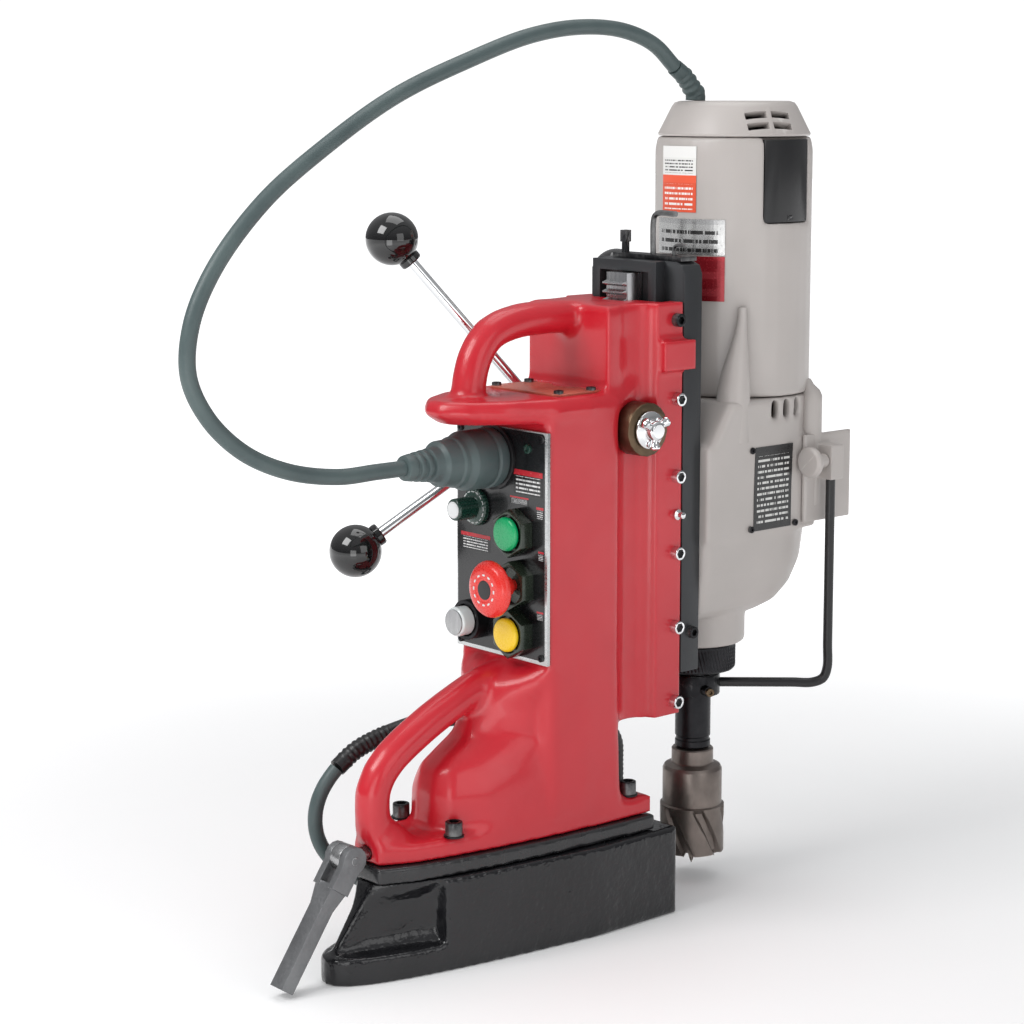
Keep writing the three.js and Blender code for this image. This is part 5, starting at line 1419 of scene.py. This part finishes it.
@dataclass
class FeedHandle:
    """The pinion shaft with its hub, four spokes and ball knobs, and the lock knob at its far end."""

    hub: tuple[float, float, float] = (-58.0, 112.0, 375.0)
    cone: float = 20.0
    first: float = 36.0
    reach: float = 178.0
    ball: float = 20.0
    spoke: float = 4.0

    def build(self, shop: Workshop) -> None:
        """Makes the handle, its knobs and the lock knob."""
        shop.broken_edges("feed_pinion_shaft", "pinion_shaft", MACHINED, "feed", 0.3 * MM, 1)
        x, y, z = self.hub
        hub = np.array([(9.3, -9.6), (9.3, -10), (16.5, -10), (19, -7.5), (19, 6.5), (16.5, 10), (9.3, 10),
                        (9.3, -9.6)])
        forms = [turned(hub[1:7] * MM, Axis.X, 64, 0.9 * MM).at(x * MM, y * MM, z * MM)]
        seat = self.reach - self.ball
        for i in range(4):
            away = self.direction(i)
            tip = seat + 11.6
            taper = np.array([(0.3, 12), (4.6, 12), (4.6, 21), (self.spoke, 24), (self.spoke, tip), (0.3, tip)])
            rod = turned(taper * MM,
                         Axis.Z, 32, 0.5 * MM)
            forms.append(rod.moved(pointing(away, Vector(self.hub) * MM)))
            self.knob(shop, i, away, seat)
        shop.make("feed_handle", together(forms), CHROME, "feed", ["feed_spider"])
        self.lock_knob(shop)

    def direction(self, i: int) -> tuple[float, float, float]:
        """The direction of spoke i: leaning outwards by the cone's angle, a quarter turn after the last."""
        lean, angle = math.radians(self.cone), math.radians(self.first + 90 * i)
        return (-math.sin(lean), math.cos(lean) * math.cos(angle), math.cos(lean) * math.sin(angle))

    def knob(self, shop: Workshop, i: int, away: tuple[float, float, float], seat: float) -> None:
        """Makes one ball knob: a sphere whose neck is faced off square to its spoke."""
        t = np.linspace(math.pi - math.asin(8.2 / self.ball), 0.02, 30)
        sphere = np.stack([self.ball * np.sin(t), self.reach + self.ball * np.cos(t)], axis=1)
        neck = np.array([(4.6, seat - 3.4), (8.0, seat - 3.4), (8.6, seat - 2.4), (8.6, sphere[0, 1] - 0.6)])
        form = turned(np.vstack([neck, sphere]) * MM, Axis.Z, 56).moved(pointing(away, Vector(self.hub) * MM))
        shop.make(f"ball_{i + 1}", form, BLACK_GLOSS, "feed", [f"ball_knob_{i + 1}"], sharp=30.0)

    def lock_knob(self, shop: Workshop) -> None:
        """Makes the dished washer and the three rounded wings of the shaft's lock knob."""
        _, y, z = self.hub
        x = 57.3
        dish = np.array([(0.3, 0.6), (8, 0.8), (12.6, 0.0), (14, 0.6), (14, 2.4), (10.5, 3.6), (7.6, 4.2), (7.2, 9.6),
                         (5.6, 11), (0.3, 11.2)])
        dish[:, 1] = np.clip(dish[:, 1], 0.0, None)
        forms = [turned(dish * MM, Axis.X, 60, 0.7 * MM)]
        for i in range(3):
            angle = TURN / 3 * i + 0.5
            along = np.linspace(0, 1, 22)
            across, up = 14.6 * along * math.cos(angle), 14.6 * along * math.sin(angle)
            path = np.stack([np.full(22, 6.2) + 0.9 * along, across, up], axis=1)
            width = 3.0 + 1.1 * ramp((along - 0.55) / 0.3) - 3.4 * np.clip((along - 0.86) / 0.14, 0, 1) ** 2.5
            forms.append(tube(path * MM, width * MM, 24))
        form = together(forms).at(x * MM, y * MM, z * MM)
        shop.make("shaft_lock_wings", form, CHROME, "lock_knob", ["shaft_lock_knob"])


# ---------------------------------------------------------------- carriage


@dataclass
class Carriage:
    """The slide with its rack and key holder, the gear case and the drill motor."""

    motor_y: float = 259.0
    motor_r: float = 61.0
    key_seat: float = 498.8

    def build(self, shop: Workshop) -> None:
        """Makes every piece of the carriage that doesn't turn."""
        shop.broken_edges("slide_plate", "dovetail_slide", SLIDE_BLACK, "carriage", 0.7 * MM)
        shop.broken_edges("rack", "feed_rack", MACHINED, "carriage", 0.25 * MM, 1)
        shop.broken_edges("key_holder", "key_block", BLACK_STEEL, "carriage", 0.5 * MM)
        shop.softened("gear_case", "gear_case_casting", GREY_ENAMEL, "carriage", 1.8 * MM, 8)
        shop.softened("motor_housing", "motor_shell", GREY_ENAMEL, "carriage", 1.7 * MM, 5)
        for side in ("right", "left"):
            shop.broken_edges(f"brush_cover_{side}", f"{side}_brush_plate", BLACK_PLASTIC, "carriage", 0.8 * MM)
        dress(shop, "motor_field", COPPER)
        dress(shop, "spindle_bearing", MACHINED)
        self.motor_top(shop)
        self.keys(shop)
        self.ribs(shop)
        self.plates(shop)
        self.seam_screws(shop)

    def motor_top(self, shop: Workshop) -> None:
        """Makes the motor's cap: a chamfered lid with a hollow underside, four vent slots and the lead's hole."""
        line = np.array([(0.3, 601), (47, 601), (47, 586.4), (58.6, 586.4), (59, 588), (48.6, 608.6), (46.4, 611.6),
                         (42.5, 612.9), (0.3, 612.9)])
        cap = shop.make("motor_top", turned(line * MM, Axis.Z, 128).at(0, self.motor_y * MM, 0), GREY_ENAMEL,
                        "carriage", ["motor_cap"])
        about = Matrix.Translation(Vector((0, self.motor_y * MM, 0))) @ Matrix.Rotation(math.radians(-16), 4, "Z")
        square = Matrix.Rotation(math.radians(-27), 4, "Y")
        slots = [slab(rounded_box((8.8 * MM, 2.9 * MM), (y * MM, 0), 0.9 * MM), Axis.X, -12 * MM, 5 * MM)
                 .moved(about @ Matrix.Translation(Vector((r * MM, 0, z * MM))) @ square)
                 for y in (-10.6, 10.6) for r, z in ((51.4, 603.0), (55.6, 594.8))]
        drill = np.array([(0.3, 580), (5.5, 580), (5.5, 620), (0.3, 620)]) * MM
        hole = turned(drill, sides=32)
        form = together([*slots, hole.at(-14 * MM, 230 * MM, 0)])
        mesh = bpy.data.meshes.new("cap_openings")
        mesh.from_pydata(form.points.tolist(), [], form.faces)
        turn_outwards(mesh)
        tool = new_object("cap_openings", mesh)
        opening = cap.modifiers.new("openings", "BOOLEAN")
        opening.object, opening.operation, opening.solver = tool, "DIFFERENCE", "EXACT"
        edges = cap.modifiers.new("edges", "BEVEL")
        edges.width, edges.segments, edges.limit_method, edges.angle_limit = 0.5 * MM, 2, "ANGLE", math.radians(40)
        applied(cap)
        bpy.data.objects.remove(tool)
        cap.data.shade_smooth()
        cap.data.set_sharp_from_angle(angle=math.radians(36))

    def keys(self, shop: Workshop) -> None:
        """Makes the two hexagonal keys that stand in the holder."""
        for name, x, r, rise, arm in (("large", 7.0, 2.2, 33.0, 24.0), ("small", 29.0, 1.3, 9.0, 14.0)):
            bend, top = 2.5 * r, rise - r
            route = [(0, 0, -12), (0, 0, top - bend), (0.3 * bend, 0, top - 0.3 * bend), (bend, 0, top), (arm, 0, top)]
            path = smooth_path((np.array(route) + np.array([x, 165.0, self.key_seat])) * MM, 0.0008)
            shop.make(f"{name}_key", tube(path, r * MM, 6), BLACK_STEEL, f"{name}_key", [f"hex_key_{name}"], sharp=25.0)

    def ribs(self, shop: Workshop) -> None:
        """Makes the upright bosses that the motor's long bolts run in, tapering up the shell."""
        forms = []
        for side in (1, -1):
            for foot, tip, low, high in (((48.0, 211.0, 13.0), (50.0, 218.0, 3.0), 356.0, 458.0),
                                         ((55.0, 292.0, 8.5), (50.0, 292.0, 3.0), 300.0, 398.0)):
                z = np.linspace(low, high, 24)
                lean = ramp((z - 386) / (high - 386))[:, None]
                middle = np.array(foot) * (1 - lean) + np.array(tip) * lean
                rows = [onto(Axis.Z, (side * x + w * np.cos(a)) * MM, (y + w * np.sin(a)) * MM,
                             np.full(28, height) * MM)
                        for (x, y, w), height in zip(middle, z)
                        for a in [np.linspace(0, TURN, 28, endpoint=False)]]
                forms.append(grid(np.array(rows)))
        shop.make("motor_bosses", together(forms), GREY_ENAMEL, "carriage", sharp=50.0)

    def wrapped(self, start: float, end: float, low: float, high: float, stand: float = 0.45) -> Array:
        """A grid on the motor's round shell between two angles in degrees and two heights."""
        angle, z = np.meshgrid(np.radians(np.linspace(start, end, 24)), np.linspace(low, high, 10))
        r = self.motor_r + stand
        return np.stack([r * np.cos(angle), self.motor_y + r * np.sin(angle), z], axis=-1) * MM

    def plates(self, shop: Workshop) -> None:
        """Fixes the printed plates: on the shell's front, and on the gear case's flat side."""
        shop.decal("upper_notice", self.wrapped(-108, -74, 557, 579), SAFETY_LABEL, "carriage")
        shop.decal("lower_notice", self.wrapped(-108, -74, 529, 557), SAFETY_BLOCK, "carriage")
        shop.decal("maker_plate", self.wrapped(-114, -52, 497, 524), NAME_PLATE, "carriage")
        shop.decal("maroon_plate", self.wrapped(-114, -52, 462, 496), MAROON_PLATE, "carriage")
        y, z = np.meshgrid(np.linspace(224, 266, 6), np.linspace(286, 351, 8))
        rows = np.stack([np.maximum(58.95, 57.95 + 2.0 * (z - 282) / 66), y, z], axis=-1) * MM
        shop.decal("data_plate", rows, DATA_PLATE, "carriage")

    def seam_screws(self, shop: Workshop) -> None:
        """Makes the screws of the motor's seam, its side plates and its printed plate."""
        side = cap_screw(2.6 * MM, 1.7 * MM, 1.1 * MM, Axis.X)
        heads = [side.at(59.3 * MM, y * MM, z * MM) for y, z in ((220.5, 288), (220.5, 349), (270.0, 288))]
        heads.append(cap_screw(4.6 * MM, 4.5 * MM, 2.3 * MM, Axis.X).at(50.2 * MM, 165 * MM, 215 * MM))
        shop.make("side_screws", together(heads), BLACK_STEEL, "carriage")
        tab = rounded_box((2.6 * MM, 1.6 * MM), (259 * MM, 525 * MM), 0.5 * MM)
        clip = slab(tab, Axis.X, 57.8 * MM, 60.4 * MM, 0.3 * MM)
        shop.make("brush_clip", clip, BLACK_STEEL, "carriage")


# ---------------------------------------------------------------- spindle tools and coolant


@dataclass
class DrillTools:
    """The spindle end, its arbor and the annular cutter, with the coolant collar, tube and valve."""

    spindle: tuple[float, float] = (0.0, 220.0)
    teeth: int = 6
    flute: tuple[float, float] = (22.0, 60.0)
    tube_turn: tuple[float, float] = (71.0, 298.0)

    def build(self, shop: Workshop) -> None:
        """Makes the tools, the coolant parts and the hidden gears."""
        self.knurled_ring(shop)
        self.arbor(shop)
        self.cutter(shop)
        self.coolant(shop)
        dress(shop, "armature", COPPER)
        dress(shop, "intermediate_gears", MACHINED)

    def on_axis(self, form: Form) -> Form:
        """A form about Z moved onto the spindle's axis."""
        return form.at(self.spindle[0] * MM, self.spindle[1] * MM, 0)

    def knurled_ring(self, shop: Workshop) -> None:
        """Makes the knurled ring: its surface stands out by the product of two slanted waves."""
        line = np.array([(18, 171), (31.5, 171), (32.6, 172.2)] + [(32.6, z) for z in np.linspace(172.6, 190.6, 30)]
                        + [(32.6, 191.2), (31.6, 192.7), (18, 192.7)])

        def knurl(angle: Array, along: Array) -> Array:
            """Slanted teeth, 72 round the ring, fading at its two edges."""
            z = along / MM
            fade = ramp((z - 172.2) / 1.5) * ramp((191.0 - z) / 1.5)
            return 0.42 * MM * fade * np.cos(72 * angle + 0.55 * (z - 182))

        shop.make("knurled_sleeve", self.on_axis(turned(line * MM, Axis.Z, 288, wave=knurl)), BLACK_STEEL, "carriage",
                  ["knurled_ring"])

    def arbor(self, shop: Workshop) -> None:
        """Makes the arbor with its groove, and the bright nut over it."""
        line = np.array([(0.3, 106.2), (12.6, 106.2), (14, 107.6), (14, 112), (13.2, 112.8), (13.2, 115), (14, 115.8),
                         (14, 146), (14, 165.9), (0.3, 165.9)]) * MM
        shop.make("tool_arbor", self.on_axis(turned(line, Axis.Z, 64, 0.3 * MM)), BLACK_STEEL, "spindle", ["arbor"])
        shop.broken_edges("spindle", "spindle_shaft", CHROME, "spindle", 0.6 * MM)

    def cutter(self, shop: Workshop) -> None:
        """Makes the annular cutter.

        Outside, the radius is R less a flute of depth d wherever the angle, wound on with the
        height, lies in the first third of a tooth's pitch. The rim rises behind each tooth by a
        ramp, and the bore follows it inside.
        """
        sides = 180
        angle = np.linspace(0, TURN, sides, endpoint=False)
        low, high = self.flute
        pitch = np.mod(angle * self.teeth / TURN, 1.0)
        rise = 0.6 * pitch + 3.6 * ((pitch > 0.02) & (pitch < 0.16))
        rows = []
        for z in np.concatenate([[low], np.linspace(low + 1.2, high, 22)]):
            wound = np.mod((angle + 0.021 * (z - low)) * self.teeth / TURN, 1.0)
            groove = ramp((0.34 - wound) / 0.05) * ramp(wound / 0.03) * ramp((high - z) / 3.5)
            rows.append((25.4 - 3.1 * groove, np.full(sides, z) + rise * max(0.0, 1 - (z - low) / 6.0)))
        outside = [(23.5, 61.0), (23.5, 88.6), (23.2, 89.2), (22.0, 91.4), (17.0, 93.6), (16.5, 94.4), (16.5, 104.6),
                   (15.6, 105.5), (0.5, 105.6)]
        inside = [(0.5, 76.5), (19.4, 76.2), (20.2, 75.2), (20.2, 60.0), (20.2, 34.0), (20.3, 24.0)]
        plain = [(np.full(sides, r), np.full(sides, z)) for r, z in outside]
        inner = [(np.full(sides, r), np.full(sides, z)) for r, z in inside]
        inner.append((np.full(sides, 20.5), low + rise))
        rings = inner + rows + plain
        points = np.array([onto(Axis.Z, r * np.cos(angle), r * np.sin(angle), z) for r, z in rings]) * MM
        pilot = turned(np.array([(0.2, 10.2), (1.2, 12.4), (2.9, 18), (2.9, 78), (0.2, 78)]) * MM, Axis.Z, 32)
        body = grid(points, capped=True)
        cutter = self.on_axis(together([body, pilot]))
        shop.make("ring_cutter", cutter, CUTTER_COAT, "spindle", ["annular_cutter"], sharp=28.0)

    def coolant(self, shop: Workshop) -> None:
        """Makes the coolant collar, its screw, the bent tube, the bracket and the valve's spool knob."""
        shop.broken_edges("coolant_collar", "coolant_ring", BLACK_STEEL, "carriage", 0.6 * MM)
        screw = cap_screw(3.3 * MM, 3.0 * MM, 1.5 * MM, Axis.X)
        at = Matrix.Translation(Vector((26.6 * MM, 210.5 * MM, 156 * MM))) @ Matrix.Rotation(-0.35, 4, "Z")
        shop.make("collar_screw", screw.moved(at), BRONZE, "carriage")
        x, y = self.tube_turn
        away = np.array([x, y - 220.0]) / math.hypot(x, y - 220.0)
        route = [(*(away * d + np.array([0.0, 220.0])), 158.0) for d in (20.8, 50.0, 78.0, 94.0)]
        route += [(x - 2.2, y - 2.4, 161.5), (x, y, 170.0), (x, y, 190.0), (x, y, 250.0), (x, y, 320.7)]
        path = smooth_path(np.array(route) * MM, 0.0015)
        shop.make("coolant_pipe", tube(path, 3.75 * MM, 20), BLACK_PLASTIC, "carriage", ["coolant_tube"])
        shop.softened("coolant_bracket", "valve_bracket", GREY_ENAMEL, "carriage", 1.0 * MM, 4)
        knob = np.array([(0.3, 270.9), (9.5, 270.9), (12, 272.6), (12, 275.6), (10.5, 277.2), (6.0, 277.9),
                         (5.4, 279.5), (5.4, 290.2),
                         (0.3, 290.2)]) * MM
        spool = turned(knob, Axis.Y, 60, 0.7 * MM).at(x * MM, 0, 336 * MM)
        shop.make("valve_spool", spool, GREY_ENAMEL, "valve_knob", ["coolant_valve_knob"])


@dataclass
class BaseLock:
    """The stud and the folding lever that lock the housing on its turning plate."""

    edge: float = 1.6 * MM

    def build(self, shop: Workshop) -> None:
        """Makes the stud and the lever."""
        shop.broken_edges("lock_stud", "lock_eye", MACHINED, "lock_stud", 0.6 * MM)
        shop.broken_edges("lock_lever", "lock_handle", CAST_GREY, "lock_lever", self.edge, 3)


def main() -> None:
    """Builds the drill press round its frame and writes the sizes of the CAD and of the looks."""
    logging.basicConfig(level=logging.INFO, format="%(name)s %(message)s")
    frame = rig.load()
    cad_box = [list(corner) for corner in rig.bounds()]
    Studio().build()
    bpy.context.scene.view_settings.view_transform = "Standard"
    shop = Workshop(frame)
    assemblies = (Cords(), MagnetBase(), Housing(), ControlPanel(), FeedHandle(), Carriage(), DrillTools(), BaseLock())
    for assembly in assemblies:
        log.info("%s", type(assembly).__name__)
        assembly.build(shop)
    looks_box = [list(corner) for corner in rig.bounds()]
    with open("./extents.json", "w") as out:
        json.dump({"cad": cad_box, "looks": looks_box}, out)


if __name__ == "__main__":
    main()
